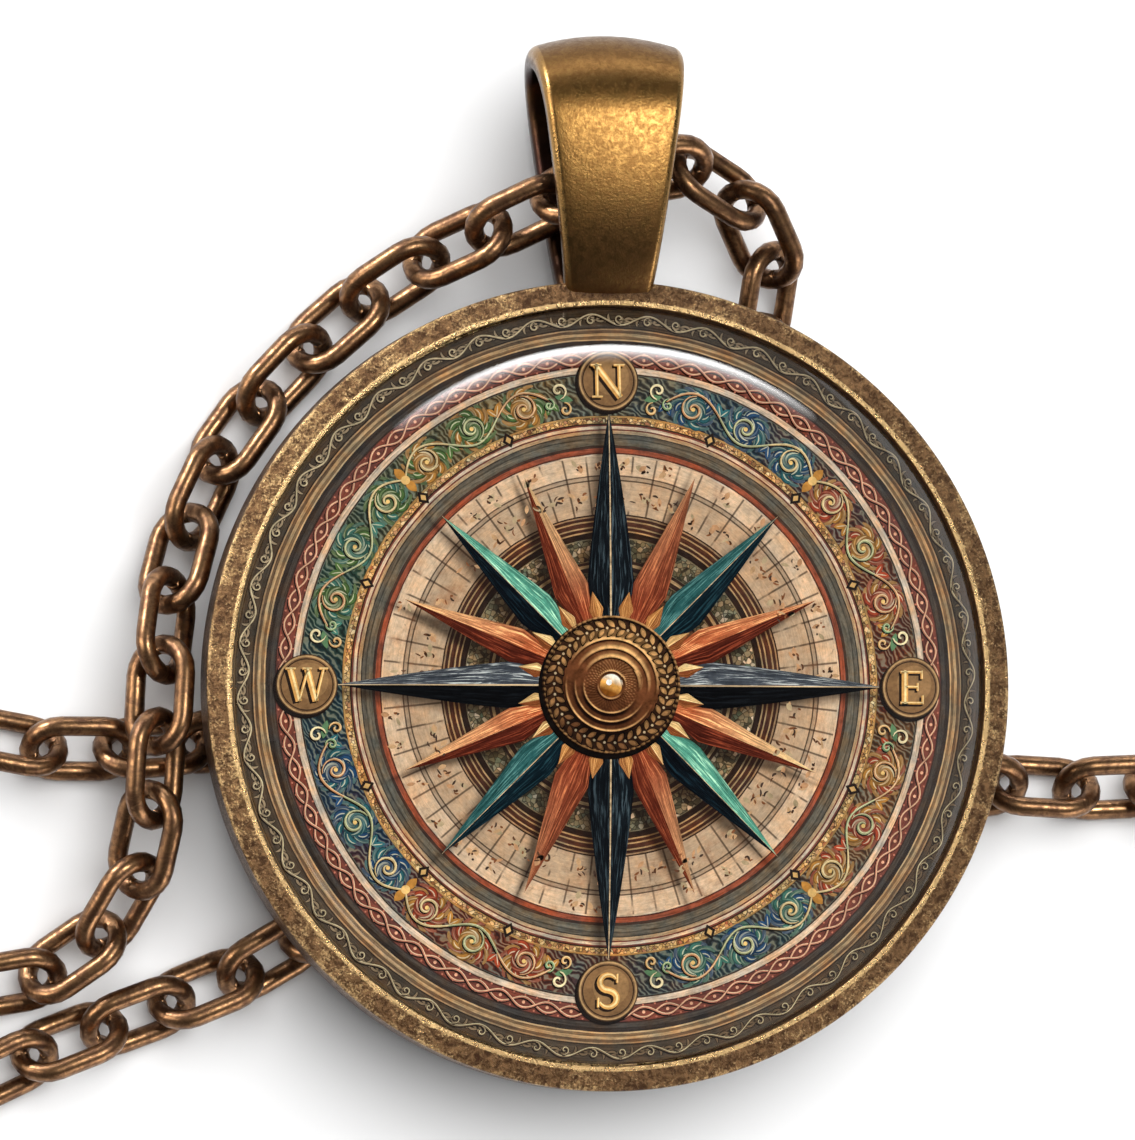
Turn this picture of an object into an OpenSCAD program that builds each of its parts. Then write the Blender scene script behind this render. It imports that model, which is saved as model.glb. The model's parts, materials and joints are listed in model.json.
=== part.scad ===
// Compass pendant on a cable chain, laid face up on a flat surface.
// Millimetres. The origin is on the surface, in the middle of the laid-out necklace.
// +Z is up and out of the glass, +Y is the dial's north and the side of the bail.

/* [Tray] */
// Diameter of the glass cabochon that the tray is cast for
glass_d = 25; // [20:0.5:30]
// Room between the glass and the wall, on the radius
glass_fit = 0.08; // [0.04:0.01:0.15]
// Width of the rim around the glass
rim_w = 0.82; // [0.6:0.02:1.2]
// Height of the tray's wall, from its back to the inner lip
tray_h = 2.6; // [2.3:0.1:3.2]
// Thickness of the tray's floor
floor_t = 0.9; // [0.6:0.1:1.1]
// Drop of the rim from its inner lip to its outer edge
rim_slope = 0.16; // [0.08:0.02:0.24]
// Radius of the rounded edge around the back
back_round = 0.7; // [0.4:0.05:0.9]
// Chamfer on the rim's two edges
rim_chamfer = 0.1; // [0.05:0.01:0.15]

/* [Dial and glass] */
// Thickness of the printed dial
dial_t = 0.3; // [0.2:0.05:0.4]
// Gap above and below the dial
dial_gap = 0.05; // [0.03:0.01:0.08]
// Room between the dial's edge and the tray's wall
dial_fit = 0.13; // [0.1:0.01:0.3]
// Height of the straight edge below the dome
glass_edge_h = 1.2; // [0.9:0.1:1.6]
// Height of the dome above its straight edge
dome_h = 4.8; // [3.5:0.1:6]

/* [Bail] */
// Width of the bail's ribbon at its folded top
bail_top_w = 5.2; // [4.4:0.1:6]
// Width of the ribbon where it joins the rim
bail_root_w = 3.0; // [2.6:0.1:3.6]
// Rise of the bail above the rim
bail_rise = 8.2; // [7.6:0.1:10]
// Height of the rounded fold at the bail's top, down to where it is deepest
bail_fold_h = 2.9; // [2.5:0.1:3.4]
// Depth of the folded ribbon from front to back
bail_depth = 5.0; // [4.8:0.1:5.6]
// Thickness of the ribbon
bail_t = 0.78; // [0.6:0.02:0.9]
// Rise of the arch along the ribbon's top edge
bail_arch = 0.35; // [0.2:0.05:0.6]

/* [Chain] */
// Diameter of the links' wire
wire_d = 0.66; // [0.5:0.02:0.72]
// Length of a link over the wire
link_l = 4.1; // [3.9:0.1:4.4]
// Width of a link over the wire
link_w = 2.7; // [2.5:0.1:2.9]
// Longest step from one link to the next
link_step = 2.45; // [2.3:0.01:2.55]
// Roll of the links, to either side in turn
link_roll = 45; // [40:1:50]
// Gap between the chain and the tray that lies on it
rest_gap = 0.1; // [0.05:0.01:0.2]
// Gap where the chain crosses over itself
cross_gap = 0.25; // [0.2:0.05:0.5]
// Gap under the chain where it passes through the bail
bail_gap = 0.27; // [0.25:0.01:0.3]

/* [Clasp] */
// Length of the clasp
clasp_l = 12; // [10.5:0.5:14]
// Width of the clasp across its hook
clasp_w = 6; // [5:0.2:7]
// Thickness of the clasp at its middle
clasp_t = 3.2; // [2.9:0.1:3.4]
// Thickness of the clasp's two ends, which the rings pass around
clasp_end_t = 0.6; // [0.5:0.05:0.65]
// Width of the metal around the clasp's two holes
clasp_band = 0.9; // [0.8:0.05:1]
// Radius of the hole in the clasp's eye
clasp_eye_r = 1.4; // [1.35:0.05:1.5]
// Diameter of the two rings beside the clasp
ring_d = 4.2; // [4.1:0.1:4.6]
// Diameter of the rings' wire
ring_wire = 0.7; // [0.6:0.02:0.74]

/* [Hidden] */
$fn = 72;

// Heights over the surface
link_bow_r = (link_w - wire_d) / 2;
chain_h = 2 * link_bow_r * sin(link_roll) + wire_d;
chain_z = chain_h / 2;
tray_z = chain_h + rest_gap;
dial_z = tray_z + floor_t + dial_gap;
glass_z = dial_z + dial_t + dial_gap;

// Radii of the tray
well_r = glass_d / 2 + glass_fit;
tray_r = well_r + rim_w;
dial_r = well_r - dial_fit;
dome_r = (pow(glass_d / 2, 2) + pow(dome_h, 2)) / (2 * dome_h);

// The bail's fold is an oval with a short upper half and a long lower half, which would
// close below the tray's edge if the tray didn't cut it off
bail_sink = 1.2;
bail_leg_h = bail_rise - bail_fold_h + bail_sink;
bail_mid_y = tray_r + bail_rise - bail_fold_h;
bail_mid_z = tray_z + tray_h / 2;
bail_root_y = tray_r - 0.6 * rim_w;
bail_arch_r = (pow(bail_top_w / 2, 2) + pow(bail_arch, 2)) / (2 * bail_arch);

// How far the chain is lifted where it passes over itself and through the bail
pass_y = 15.6;
bail_room = (bail_depth / 2 - bail_t)
    * sqrt(1 - pow((pass_y - bail_mid_y) / (bail_leg_h - bail_t), 2));
over_chain = chain_h + cross_gap;
in_bail = bail_mid_z - bail_room + bail_gap;

// The two rings lean on the surface, and the chain starts level with their middles
ring_rest = 0.02;
ring_in_r = ring_d / 2 - ring_wire;
ring_z = (ring_d - ring_wire) / 2 * sin(link_roll) + ring_wire / 2 + ring_rest;
at_clasp = ring_z - chain_z;

// From the pendant's centre to the middle of the laid-out necklace
loop_mid = 50.4;

// The chain's route around the pendant's centre: x, y and lift off the surface.
// It starts at the clasp, comes down the left, runs under the pendant to the bail,
// down the left side over itself, under the pendant again and up the right.
ROUTE = [
    [0, 118, at_clasp], [-8, 118, at_clasp], [-17, 115.2, 0],
    [-30, 109, 0], [-42.5, 97, 0], [-50, 81, 0],
    [-52.5, 62, 0], [-50.5, 43, 0], [-45, 26, 0], [-37, 11.5, 0], [-27.5, 1.5, 0],
    [-20, -1.8, 0], [-15, -2, 0], [-10, -1.2, 0], [-5, 1, 0], [-0.6, 4.4, 0],
    [2.9, 7.8, 0], [5, 10.5, 0], [6, 13, 0.12], [5.6, 15.2, 1], [3.9, 17, 1.6],
    [1.6, 17.4, in_bail], [-0.6, 16.7, in_bail],
    [-2.6, pass_y, in_bail], [-5, 14.6, 1.2], [-7.3, 13.2, 0.3], [-9.8, 11, 0],
    [-11.9, 8.6, 0], [-13.3, 6.2, 0.2], [-14.2, 3.6, 1],
    [-14.7, 0.9, over_chain * 0.85], [-14.9, -2, over_chain], [-15.1, -4.8, over_chain * 0.85],
    [-15.8, -7.2, 1], [-17.4, -9.1, 0.25], [-20.2, -10, 0], [-25, -9.4, 0], [-30, -8.2, 0],
    [-35, -8.6, 0], [-38.6, -11.8, 0], [-38.2, -16.6, 0], [-33.6, -19.2, 0], [-26.4, -16.4, 0],
    [-20, -12.8, 0], [-15.6, -11, 0], [-12.2, -9.7, 0], [-8.5, -7.6, 0], [-4, -5.8, 0],
    [1.5, -4.4, 0], [8, -3.4, 0], [14, -3.1, 0], [18.2, -3.2, 0], [27, -0.8, 0],
    [36.5, 6.5, 0], [45, 18, 0], [50.5, 34, 0], [53, 53, 0], [51.5, 73, 0],
    [45, 92, 0], [32.5, 107, 0], [17, 115.2, 0], [8, 118, at_clasp]
];
STEPS = 12; // points worked out from each route point to the next

// One smooth closed curve through the route's points
function knot(a, b) = sqrt(norm(b - a));
function mix(a, b, ta, tb, t) = a * (tb - t) / (tb - ta) + b * (t - ta) / (tb - ta);
function between(a, b, c, d, f) =
    let (t1 = knot(a, b), t2 = t1 + knot(b, c), t3 = t2 + knot(c, d), t = t1 + (t2 - t1) * f)
    let (ab = mix(a, b, 0, t1, t), bc = mix(b, c, t1, t2, t), cd = mix(c, d, t2, t3, t))
    mix(mix(ab, bc, 0, t2, t), mix(bc, cd, t1, t3, t), t1, t2, t);
function route_at(i) = ROUTE[(i + len(ROUTE)) % len(ROUTE)];
line = [for (i = [0 : len(ROUTE) - 1]) for (k = [0 : STEPS - 1])
    between(route_at(i - 1), route_at(i), route_at(i + 1), route_at(i + 2), k / STEPS)];
function line_at(i) = line[i % len(line)];
run = [for (i = 0, s = 0; i <= len(line); s = s + norm(line_at(i + 1) - line_at(i)), i = i + 1) s];
run_x = [for (i = [0 : len(line)]) [run[i], line_at(i)[0]]];
run_y = [for (i = [0 : len(line)]) [run[i], line_at(i)[1]]];
run_z = [for (i = [0 : len(line)]) [run[i], line_at(i)[2]]];
chain_length = run[len(line)];
function on_route(s) = [lookup(s, run_x), lookup(s, run_y), chain_z + max(0, lookup(s, run_z))];

// Places along the clasp: both rings, and the first joint of the chain on either side
ring_hole_gap = 0.45;
ring_link_gap = 0.25;
ring_s = clasp_l / 2 - clasp_band - ring_hole_gap + ring_in_r;
link_reach = (link_l - wire_d - link_step) / 2;
lead = ring_s + ring_in_r - ring_link_gap - wire_d / 2 + link_reach;
half_links = ceil((chain_length - 2 * lead) / link_step / 2);
link_count = 2 * half_links;
step = (chain_length - 2 * lead) / link_count;
joints = [for (i = [0 : link_count]) on_route(lead + i * step)];

// The convex outline around two circles on the x axis
function round_turn(x, r, from, to, n) =
    [for (i = [0 : n]) let (a = from + (to - from) * i / n) [x + r * cos(a), r * sin(a)]];
function two_circles(x1, r1, x2, r2, n = 10) =
    let (a = acos((r1 - r2) / (x2 - x1)))
    concat(round_turn(x2, r2, -a, a, n), round_turn(x1, r1, a, 360 - a, n));

// Everything is laid out around the pendant's centre and then moved to the origin
module laid() {
    translate([0, -loop_mid, 0]) children();
}

// The cast tray, turned from its half section
module tray() {
    round_steps = 8;
    back_edge = [for (i = [0 : round_steps]) let (a = -90 + 90 * i / round_steps)
        [tray_r - back_round + back_round * cos(a), back_round + back_round * sin(a)]];
    edge_z = tray_h - rim_slope;
    translate([0, 0, tray_z]) rotate_extrude() polygon(concat(
        [[0, 0]],
        back_edge,
        [
            [tray_r, edge_z - rim_chamfer],
            [tray_r - rim_chamfer, edge_z],
            [well_r + rim_chamfer, tray_h],
            [well_r, tray_h - rim_chamfer],
            [well_r, floor_t],
            [0, floor_t]
        ]
    ));
}

// Half of an oval fold, as y and z round its middle, from the root over the top
function fold_side(depth, top, leg, root, n, side) =
    let (a0 = asin(max(-1, (root - bail_mid_y) / leg)))
    [for (i = [0 : n]) let (a = a0 + (90 - a0) * i / n)
        [bail_mid_y + (a < 0 ? leg : top) * sin(a), side * depth / 2 * cos(a)]];
function reversed(list) = [for (i = [len(list) - 1 : -1 : 0]) list[i]];
function fold(depth, top, leg, root, n) = concat(
    fold_side(depth, top, leg, root, n, 1),
    reversed([for (i = [0 : n - 1]) fold_side(depth, top, leg, root, n, -1)[i]])
);

// The bail, a ribbon folded over and soldered to the tray by both ends
module bail() {
    side_steps = 16;
    intersection() {
        translate([0, 0, bail_mid_z]) rotate([90, 0, 90])
            linear_extrude(height = 2 * bail_top_w, center = true) difference() {
                polygon(fold(bail_depth, bail_fold_h, bail_leg_h, bail_root_y, side_steps));
                polygon(fold(bail_depth - 2 * bail_t, bail_fold_h - bail_t, bail_leg_h - bail_t,
                    tray_r - back_round / 2, side_steps));
            }
        translate([0, 0, bail_mid_z - bail_depth]) linear_extrude(height = 2 * bail_depth)
            intersection() {
                polygon([
                    [-bail_root_w / 2, bail_root_y],
                    [bail_root_w / 2, bail_root_y],
                    [bail_top_w / 2, tray_r + bail_rise],
                    [-bail_top_w / 2, tray_r + bail_rise]
                ]);
                translate([0, tray_r + bail_rise - bail_arch_r]) circle(r = bail_arch_r);
            }
    }
}

module bezel() {
    color([0.42, 0.31, 0.16]) laid() union() {
        tray();
        bail();
    }
}

module dial() {
    color([0.55, 0.47, 0.36]) laid() translate([0, 0, dial_z]) cylinder(r = dial_r, h = dial_t);
}

module glass_dome() {
    color([0.85, 0.9, 0.92, 0.4]) laid() translate([0, 0, glass_z]) intersection() {
        cylinder(d = glass_d, h = glass_edge_h + dome_h);
        translate([0, 0, glass_edge_h + dome_h - dome_r]) sphere(r = dome_r);
    }
}

// A link lies along x, flat: two half rings joined by two straight wires
module chain_link() {
    straight = link_l - link_w;
    for (end = [-1, 1]) {
        translate([end * straight / 2, 0, 0]) rotate([0, 0, -90 * end])
            rotate_extrude(angle = 180) translate([link_bow_r, 0]) circle(d = wire_d);
        translate([-straight / 2, end * link_bow_r, 0]) rotate([0, 90, 0])
            cylinder(d = wire_d, h = straight);
    }
}

// Moves a link from the origin to lie between two joints, rolled about its length
module between_joints(a, b, roll) {
    d = b - a;
    translate((a + b) / 2)
        rotate([roll, -asin(d[2] / norm(d)), atan2(d[1], d[0])]) children();
}

module chain() {
    color([0.36, 0.23, 0.14]) laid() for (i = [0 : link_count - 1])
        between_joints(joints[i], joints[i + 1], (i % 2 == 0 ? 1 : -1) * link_roll) chain_link();
}

// The clasp is one plain closed piece: a drop-shaped frame with an eye at its right end,
// thick at the middle and thin at the two ends
module clasp() {
    hook_r = clasp_w / 2;
    hook_x = hook_r - clasp_l / 2;
    eye_r = clasp_eye_r + clasp_band;
    eye_x = clasp_l / 2 - eye_r;
    bay_r = 0.6;
    bay_x = eye_x - eye_r - bay_r - clasp_band / 2;
    thin = 2.5 * clasp_band;
    color([0.4, 0.28, 0.16]) laid() translate([0, ROUTE[0][1], clasp_t / 2]) intersection() {
        linear_extrude(height = clasp_t, center = true) difference() {
            polygon(two_circles(hook_x, hook_r, eye_x, eye_r));
            polygon(two_circles(hook_x, hook_r - clasp_band, bay_x, bay_r));
            translate([eye_x, 0]) circle(r = clasp_eye_r);
        }
        rotate([90, 0, 0]) linear_extrude(height = 2 * clasp_w, center = true) polygon([
            for (side = [1, -1]) each [
                [-side * clasp_l / 2, side * clasp_end_t / 2],
                [-side * (clasp_l / 2 - thin), side * clasp_end_t / 2],
                [-side * clasp_l / 8, side * clasp_t / 2],
                [side * clasp_l / 8, side * clasp_t / 2],
                [side * (clasp_l / 2 - thin), side * clasp_end_t / 2],
                [side * clasp_l / 2, side * clasp_end_t / 2]
            ]
        ]);
    }
}

// The rings lean across the chain's first and last link
module jump_ring(side) {
    laid() translate([side * ring_s, ROUTE[0][1], ring_z]) rotate([-side * link_roll, 0, 0])
        rotate_extrude() translate([ring_d / 2 - ring_wire / 2, 0]) circle(d = ring_wire);
}

module clasp_ring() {
    color([0.38, 0.25, 0.15]) jump_ring(1);
}

module end_ring() {
    color([0.38, 0.25, 0.15]) jump_ring(-1);
}

bezel();
dial();
glass_dome();
chain();
clasp();
clasp_ring();
end_ring();
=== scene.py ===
# Compass pendant: a printed rose under a glass dome in a cast tray with a bail, on a chain
import json
import random
from collections import namedtuple
from math import asin, atan2, ceil, cos, exp, hypot, pi, radians, sin, sqrt, tan

import bmesh
import bpy
import numpy as np
from mathutils import Matrix, Vector
from mathutils.kdtree import KDTree

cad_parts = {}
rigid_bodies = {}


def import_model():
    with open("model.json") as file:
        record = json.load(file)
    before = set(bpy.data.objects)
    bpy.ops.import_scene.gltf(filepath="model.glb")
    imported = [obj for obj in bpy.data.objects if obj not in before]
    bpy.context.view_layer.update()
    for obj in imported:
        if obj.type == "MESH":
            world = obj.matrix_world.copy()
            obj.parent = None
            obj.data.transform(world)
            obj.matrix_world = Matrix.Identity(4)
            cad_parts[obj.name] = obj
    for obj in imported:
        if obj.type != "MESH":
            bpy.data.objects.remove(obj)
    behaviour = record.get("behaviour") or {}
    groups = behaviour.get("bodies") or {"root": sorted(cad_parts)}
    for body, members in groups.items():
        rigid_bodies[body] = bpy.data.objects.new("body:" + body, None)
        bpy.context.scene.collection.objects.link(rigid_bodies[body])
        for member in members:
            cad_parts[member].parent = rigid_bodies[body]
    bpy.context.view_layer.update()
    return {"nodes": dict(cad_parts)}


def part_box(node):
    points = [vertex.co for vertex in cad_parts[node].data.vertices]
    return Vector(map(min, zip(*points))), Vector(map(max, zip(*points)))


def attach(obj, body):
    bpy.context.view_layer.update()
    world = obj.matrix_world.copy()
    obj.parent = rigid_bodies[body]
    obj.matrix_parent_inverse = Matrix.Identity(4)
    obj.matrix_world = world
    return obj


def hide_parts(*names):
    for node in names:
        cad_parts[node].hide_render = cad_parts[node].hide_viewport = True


MM = 0.001
TURN = 2 * pi
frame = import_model()

# Places and sizes read from the frame
dial_low, dial_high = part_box("dial")
glass_low, glass_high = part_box("glass_dome")
bezel_low, bezel_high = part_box("bezel")
centre = Vector(((dial_low.x + dial_high.x) / 2, (dial_low.y + dial_high.y) / 2, 0))
glass_r = (glass_high.x - glass_low.x) / 2
tray_r = (bezel_high.x - bezel_low.x) / 2
dial_top = dial_high.z

# Sizes of the cast tray and its bail, as in the part's source
GLASS_FIT = 0.08 * MM
FLOOR_T = 0.9 * MM
DIAL_GAP = 0.05 * MM
TRAY_H = 2.6 * MM
RIM_SLOPE = 0.16 * MM
BACK_ROUND = 0.7 * MM
BAIL_TOP_W = 5.2 * MM
BAIL_ROOT_W = 3.0 * MM
BAIL_RISE = bezel_high.y - centre.y - tray_r
BAIL_FOLD_H = 2.9 * MM
BAIL_SINK = 1.2 * MM
BAIL_DEPTH = bezel_high.z - bezel_low.z
BAIL_T = 0.78 * MM
BAIL_ARCH = 0.35 * MM
BAIL_INSET = 0.45 * MM
SIDE_DROP = 0.2 * MM
well_r = glass_r + GLASS_FIT
tray_z = dial_low.z - DIAL_GAP - FLOOR_T
bail_mid_z = tray_z + TRAY_H / 2

# Sizes of the chain, as in the part's source
WIRE_D = 0.66 * MM
LINK_L = 4.1 * MM
LINK_W = 2.7 * MM
LINK_STEP = 2.45 * MM
LINK_ROLL = radians(45)
LEAD = 7.365 * MM

# Where the photo stands: the dial's middle and the frame in its pixels, and its scale
PHOTO_W, PHOTO_H = 1135, 1140
DIAL_PIXEL = (604, 687)
PIXELS_PER_MM = 30.2
VIEW_LEFT = radians(8.5)
VIEW_BELOW = radians(2.5)
VIEW_DISTANCE = 0.5
SENSOR = 36


def colour(*shade):
    """Linear light of a colour picked as a screen shows it, from 0 to 255."""
    values = [value / 255 for value in shade]
    return tuple(value / 12.92 if value <= 0.04045 else ((value + 0.055) / 1.055) ** 2.4
                 for value in values) + (1.0,)


def new_object(name, data):
    """An object of the scene around its mesh, lamp or camera."""
    made = bpy.data.objects.new(name, data)
    bpy.context.scene.collection.objects.link(made)
    return made


def shares(steps):
    """From 0 to 1 in even steps."""
    return [i / steps for i in range(steps + 1)]


# Camera, at the photo's angle over the dial
def view_axes():
    towards = Vector((-sin(VIEW_LEFT), -sin(VIEW_BELOW) * cos(VIEW_LEFT),
                      cos(VIEW_BELOW) * cos(VIEW_LEFT)))
    right = Vector((0, 1, 0)).cross(towards).normalized()
    return towards, right, towards.cross(right)


def make_camera():
    towards, right, up = view_axes()
    across = (PHOTO_W / 2 - DIAL_PIXEL[0]) / PIXELS_PER_MM * MM
    above = (DIAL_PIXEL[1] - PHOTO_H / 2) / PIXELS_PER_MM * MM
    target = Vector((centre.x, centre.y, dial_top)) + right * across + up * above
    data = bpy.data.cameras.new("camera")
    data.sensor_width = SENSOR
    data.lens = SENSOR * VIEW_DISTANCE / (PHOTO_H / PIXELS_PER_MM * MM)
    data.clip_start = 0.01
    data.clip_end = 20
    camera = new_object("camera", data)
    camera.matrix_world = Matrix((right, up, towards)).transposed().to_4x4()
    camera.location = target + towards * VIEW_DISTANCE
    bpy.context.scene.camera = camera


make_camera()


# Node helpers: arithmetic on sockets is written as usual
class Value:
    """A number worked out by nodes."""

    def __init__(self, tree, socket):
        self.tree = tree
        self.socket = socket

    def math(self, operation, *others):
        node = self.tree.nodes.new("ShaderNodeMath")
        node.operation = operation
        for socket, value in zip(node.inputs, (self, *others)):
            feed(self.tree, socket, value)
        return Value(self.tree, node.outputs[0])

    def __add__(self, other):
        return self.math("ADD", other)

    def __sub__(self, other):
        return self.math("SUBTRACT", other)

    def __mul__(self, other):
        return self.math("MULTIPLY", other)

    def __truediv__(self, other):
        return self.math("DIVIDE", other)

    def least(self, other):
        return self.math("MINIMUM", other)

    def most(self, other):
        return self.math("MAXIMUM", other)

    def size(self):
        return self.math("ABSOLUTE")

    def step(self, low, high):
        """0 below low, 1 above high, and a smooth rise between them."""
        node = self.tree.nodes.new("ShaderNodeMapRange")
        node.interpolation_type = "SMOOTHSTEP"
        feed(self.tree, node.inputs["Value"], self)
        feed(self.tree, node.inputs["From Min"], low)
        feed(self.tree, node.inputs["From Max"], high)
        return Value(self.tree, node.outputs["Result"])

    def inside(self, low, high, soft):
        """1 between low and high, with soft edges."""
        return self.step(low - soft, low + soft) * self.step(high + soft, high - soft)


def feed(tree, socket, value):
    if isinstance(value, Value):
        value = value.socket
    if isinstance(value, bpy.types.NodeSocket):
        tree.links.new(value, socket)
    else:
        socket.default_value = value


def fill(tree, node, inputs):
    """Feeds a node's inputs by their names, in which _ may stand for a space."""
    for name, value in inputs.items():
        feed(tree, node.inputs[name.replace("_", " ")], value)
    return node


def add_node(tree, kind, inputs=None, **settings):
    node = tree.nodes.new(kind)
    for name, value in settings.items():
        setattr(node, name, value)
    return fill(tree, node, inputs or {})


def mix_colours(tree, share, first, second, blend="MIX"):
    node = add_node(tree, "ShaderNodeMix", data_type="RGBA", blend_type=blend)
    for number, value in ((0, share), (6, first), (7, second)):
        feed(tree, node.inputs[number], value)
    return node.outputs[2]


def shaded(tree, inks, value):
    """Colours made darker or lighter by a value."""
    grey = add_node(tree, "ShaderNodeCombineColor", {"Red": value, "Green": value, "Blue": value})
    return mix_colours(tree, 1.0, inks, grey.outputs[0], "MULTIPLY")


def mesh_value(tree, name, output="Fac"):
    """What an attribute of the mesh says."""
    return add_node(tree, "ShaderNodeAttribute", attribute_name=name).outputs[output]


def parts_of(tree, vector):
    """X and Y of a vector."""
    node = add_node(tree, "ShaderNodeSeparateXYZ", {"Vector": vector})
    return Value(tree, node.outputs["X"]), Value(tree, node.outputs["Y"])


def colour_steps(tree, share, stops, interpolation="LINEAR"):
    """A colour ramp; stops are rows of place and colour."""
    node = add_node(tree, "ShaderNodeValToRGB", {"Fac": share})
    ramp = node.color_ramp
    ramp.interpolation = interpolation
    ramp.elements[0].position, ramp.elements[0].color = stops[0]
    ramp.elements[1].position, ramp.elements[1].color = stops[-1]
    for place, shade in stops[1:-1]:
        ramp.elements.new(place).color = shade
    return node.outputs["Color"]


def noise_value(tree, vector, scale, detail=3.0, roughness=0.55, distortion=0.0):
    node = add_node(tree, "ShaderNodeTexNoise", {
        "Vector": vector, "Scale": scale, "Detail": detail, "Roughness": roughness,
        "Distortion": distortion})
    return Value(tree, node.outputs["Fac"])


def object_mm(tree, around=None):
    """Object coordinates in millimetres, from the dial's middle if around is given."""
    place = add_node(tree, "ShaderNodeTexCoord").outputs["Object"]
    shift = Vector((0, 0, 0)) if around is None else -around / MM
    return add_node(tree, "ShaderNodeMapping", {
        "Vector": place, "Location": shift, "Scale": (1 / MM, 1 / MM, 1 / MM)}).outputs[0]


def new_group(name, inputs, outputs, tree_kind="ShaderNodeTree"):
    """A node group; inputs are rows of name, kind and default value, outputs of the first two.
    It comes with its values by name, and a function that feeds its outputs."""
    group = bpy.data.node_groups.new(name, tree_kind)
    for title, kind, value in inputs:
        socket = group.interface.new_socket(title, in_out="INPUT", socket_type="NodeSocket" + kind)
        if value is not None:
            socket.default_value = value
    for title, kind in outputs:
        group.interface.new_socket(title, in_out="OUTPUT", socket_type="NodeSocket" + kind)
    given, made = add_node(group, "NodeGroupInput"), add_node(group, "NodeGroupOutput")
    values = {row[0]: Value(group, given.outputs[row[0]]) for row in inputs}
    return group, values, lambda **results: fill(group, made, results)


def use_group(tree, group, **inputs):
    return fill(tree, add_node(tree, "ShaderNodeGroup", node_tree=group), inputs).outputs


def new_material(name, **inputs):
    """A material with its Principled shader and what that is set to all over."""
    material = bpy.data.materials.new(name)
    material.use_nodes = True
    tree = material.node_tree
    return material, tree, fill(tree, tree.nodes["Principled BSDF"], inputs)


def set_surface(tree, shader):
    feed(tree, tree.nodes["Material Output"].inputs["Surface"], shader.outputs[0])


# Shared effects
# Dark colour that painted shade mixes the bronze towards
SHADE_INK = colour(54, 36, 32)


def make_grain_group():
    """Cast grain: fine and coarse bumps as one height, and a mottling mask."""
    group, given, give = new_group(
        "cast_grain",
        [("Vector", "Vector", None), ("Scale", "Float", 1.0)],
        [("Height", "Float"), ("Mottle", "Float")])
    place, scale = given["Vector"], given["Scale"]
    coarse = noise_value(group, place, scale * 1.6, 4.0, 0.6)
    fine = noise_value(group, place, scale * 9.0, 3.0, 0.65)
    mottle = noise_value(group, place, scale * 3.1, 5.0, 0.7, 0.6)
    give(Height=coarse * 0.45 + fine * 0.55, Mottle=mottle.step(0.36, 0.66))
    return group


def make_streak_group():
    """Brush strokes: noise drawn out along one way of a flat pattern."""
    group, given, give = new_group(
        "brush_streaks",
        [("Along", "Float", 0.0), ("Across", "Float", 0.0), ("Length", "Float", 1.0),
         ("Width", "Float", 0.1)],
        [("Streaks", "Float")])
    place = add_node(group, "ShaderNodeCombineXYZ", {
        "X": given["Along"] / given["Length"], "Y": given["Across"] / given["Width"]})
    streaks = noise_value(group, place.outputs[0], 1.0, 4.0, 0.65, 0.5)
    give(Streaks=streaks.step(0.28, 0.72))
    return group


def make_patina_group():
    """Antique plating: mottled, rubbed bright on the edges, and darkened unevenly by painted shade
    where the mesh asks for it.
    """
    group, given, give = new_group(
        "antique_patina",
        [("Vector", "Vector", None), ("Scale", "Float", 1.0), ("Wear", "Float", 0.0),
         ("Dirt", "Float", 0.0), ("Flecks", "Float", 1.6), ("Dark", "Color", None),
         ("Middle", "Color", None), ("Bright", "Color", None)],
        [("Color", "Color"), ("Roughness", "Float"), ("Height", "Float")])
    place, scale = given["Vector"], given["Scale"]
    grain = use_group(group, cast_grain, Vector=place, Scale=scale)
    mottle, height = (Value(group, grain[name]) for name in ("Mottle", "Height"))
    wide = noise_value(group, place, scale * 0.35, 2.0, 0.5)
    flecks = (height - 0.5) * given["Flecks"]
    rubbed = (given["Wear"] + flecks + (wide - 0.5) * 0.8).step(0.25, 0.85)
    body = mix_colours(group, mottle, given["Dark"], given["Middle"])
    body = mix_colours(group, rubbed, body, given["Bright"])
    # painted shade, made uneven by the wide noise, darkens the colour towards the shade colour
    dirt = given["Dirt"] * ((wide - 0.5) * 1.4 + 1.0)
    give(Color=mix_colours(group, dirt.least(1.0), body, SHADE_INK),
         Roughness=(mottle * -0.12 - rubbed * 0.1) + 0.5, Height=height)
    return group


cast_grain = make_grain_group()
brush_streaks = make_streak_group()
antique_patina = make_patina_group()


# Antique bronze for the tray, bail, chain and clasp
def bronze(name, dark, middle, bright, scale=1.0, bump=0.05, roughness=0.0, flecks=1.6):
    """Antique bronze; the mesh's own attributes say where it is rubbed and where it gets painted
    shade.
    """
    material, tree, shader = new_material(name, Metallic=1.0)
    # the second attribute is painted shade, which darkens the bronze where shade falls
    rubbed, dirt = (mesh_value(tree, mark) for mark in ("wear", "dirt"))
    patina = use_group(tree, antique_patina, Vector=object_mm(tree), Scale=scale, Wear=rubbed,
                       Dirt=dirt, Flecks=flecks, Dark=dark, Middle=middle, Bright=bright)
    raised = add_node(tree, "ShaderNodeBump", {
        "Height": patina["Height"], "Distance": bump * MM, "Strength": 1.0})
    fill(tree, shader, {"Base Color": patina["Color"], "Normal": raised.outputs["Normal"],
                        "Roughness": Value(tree, patina["Roughness"]) + roughness})
    return material


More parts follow.
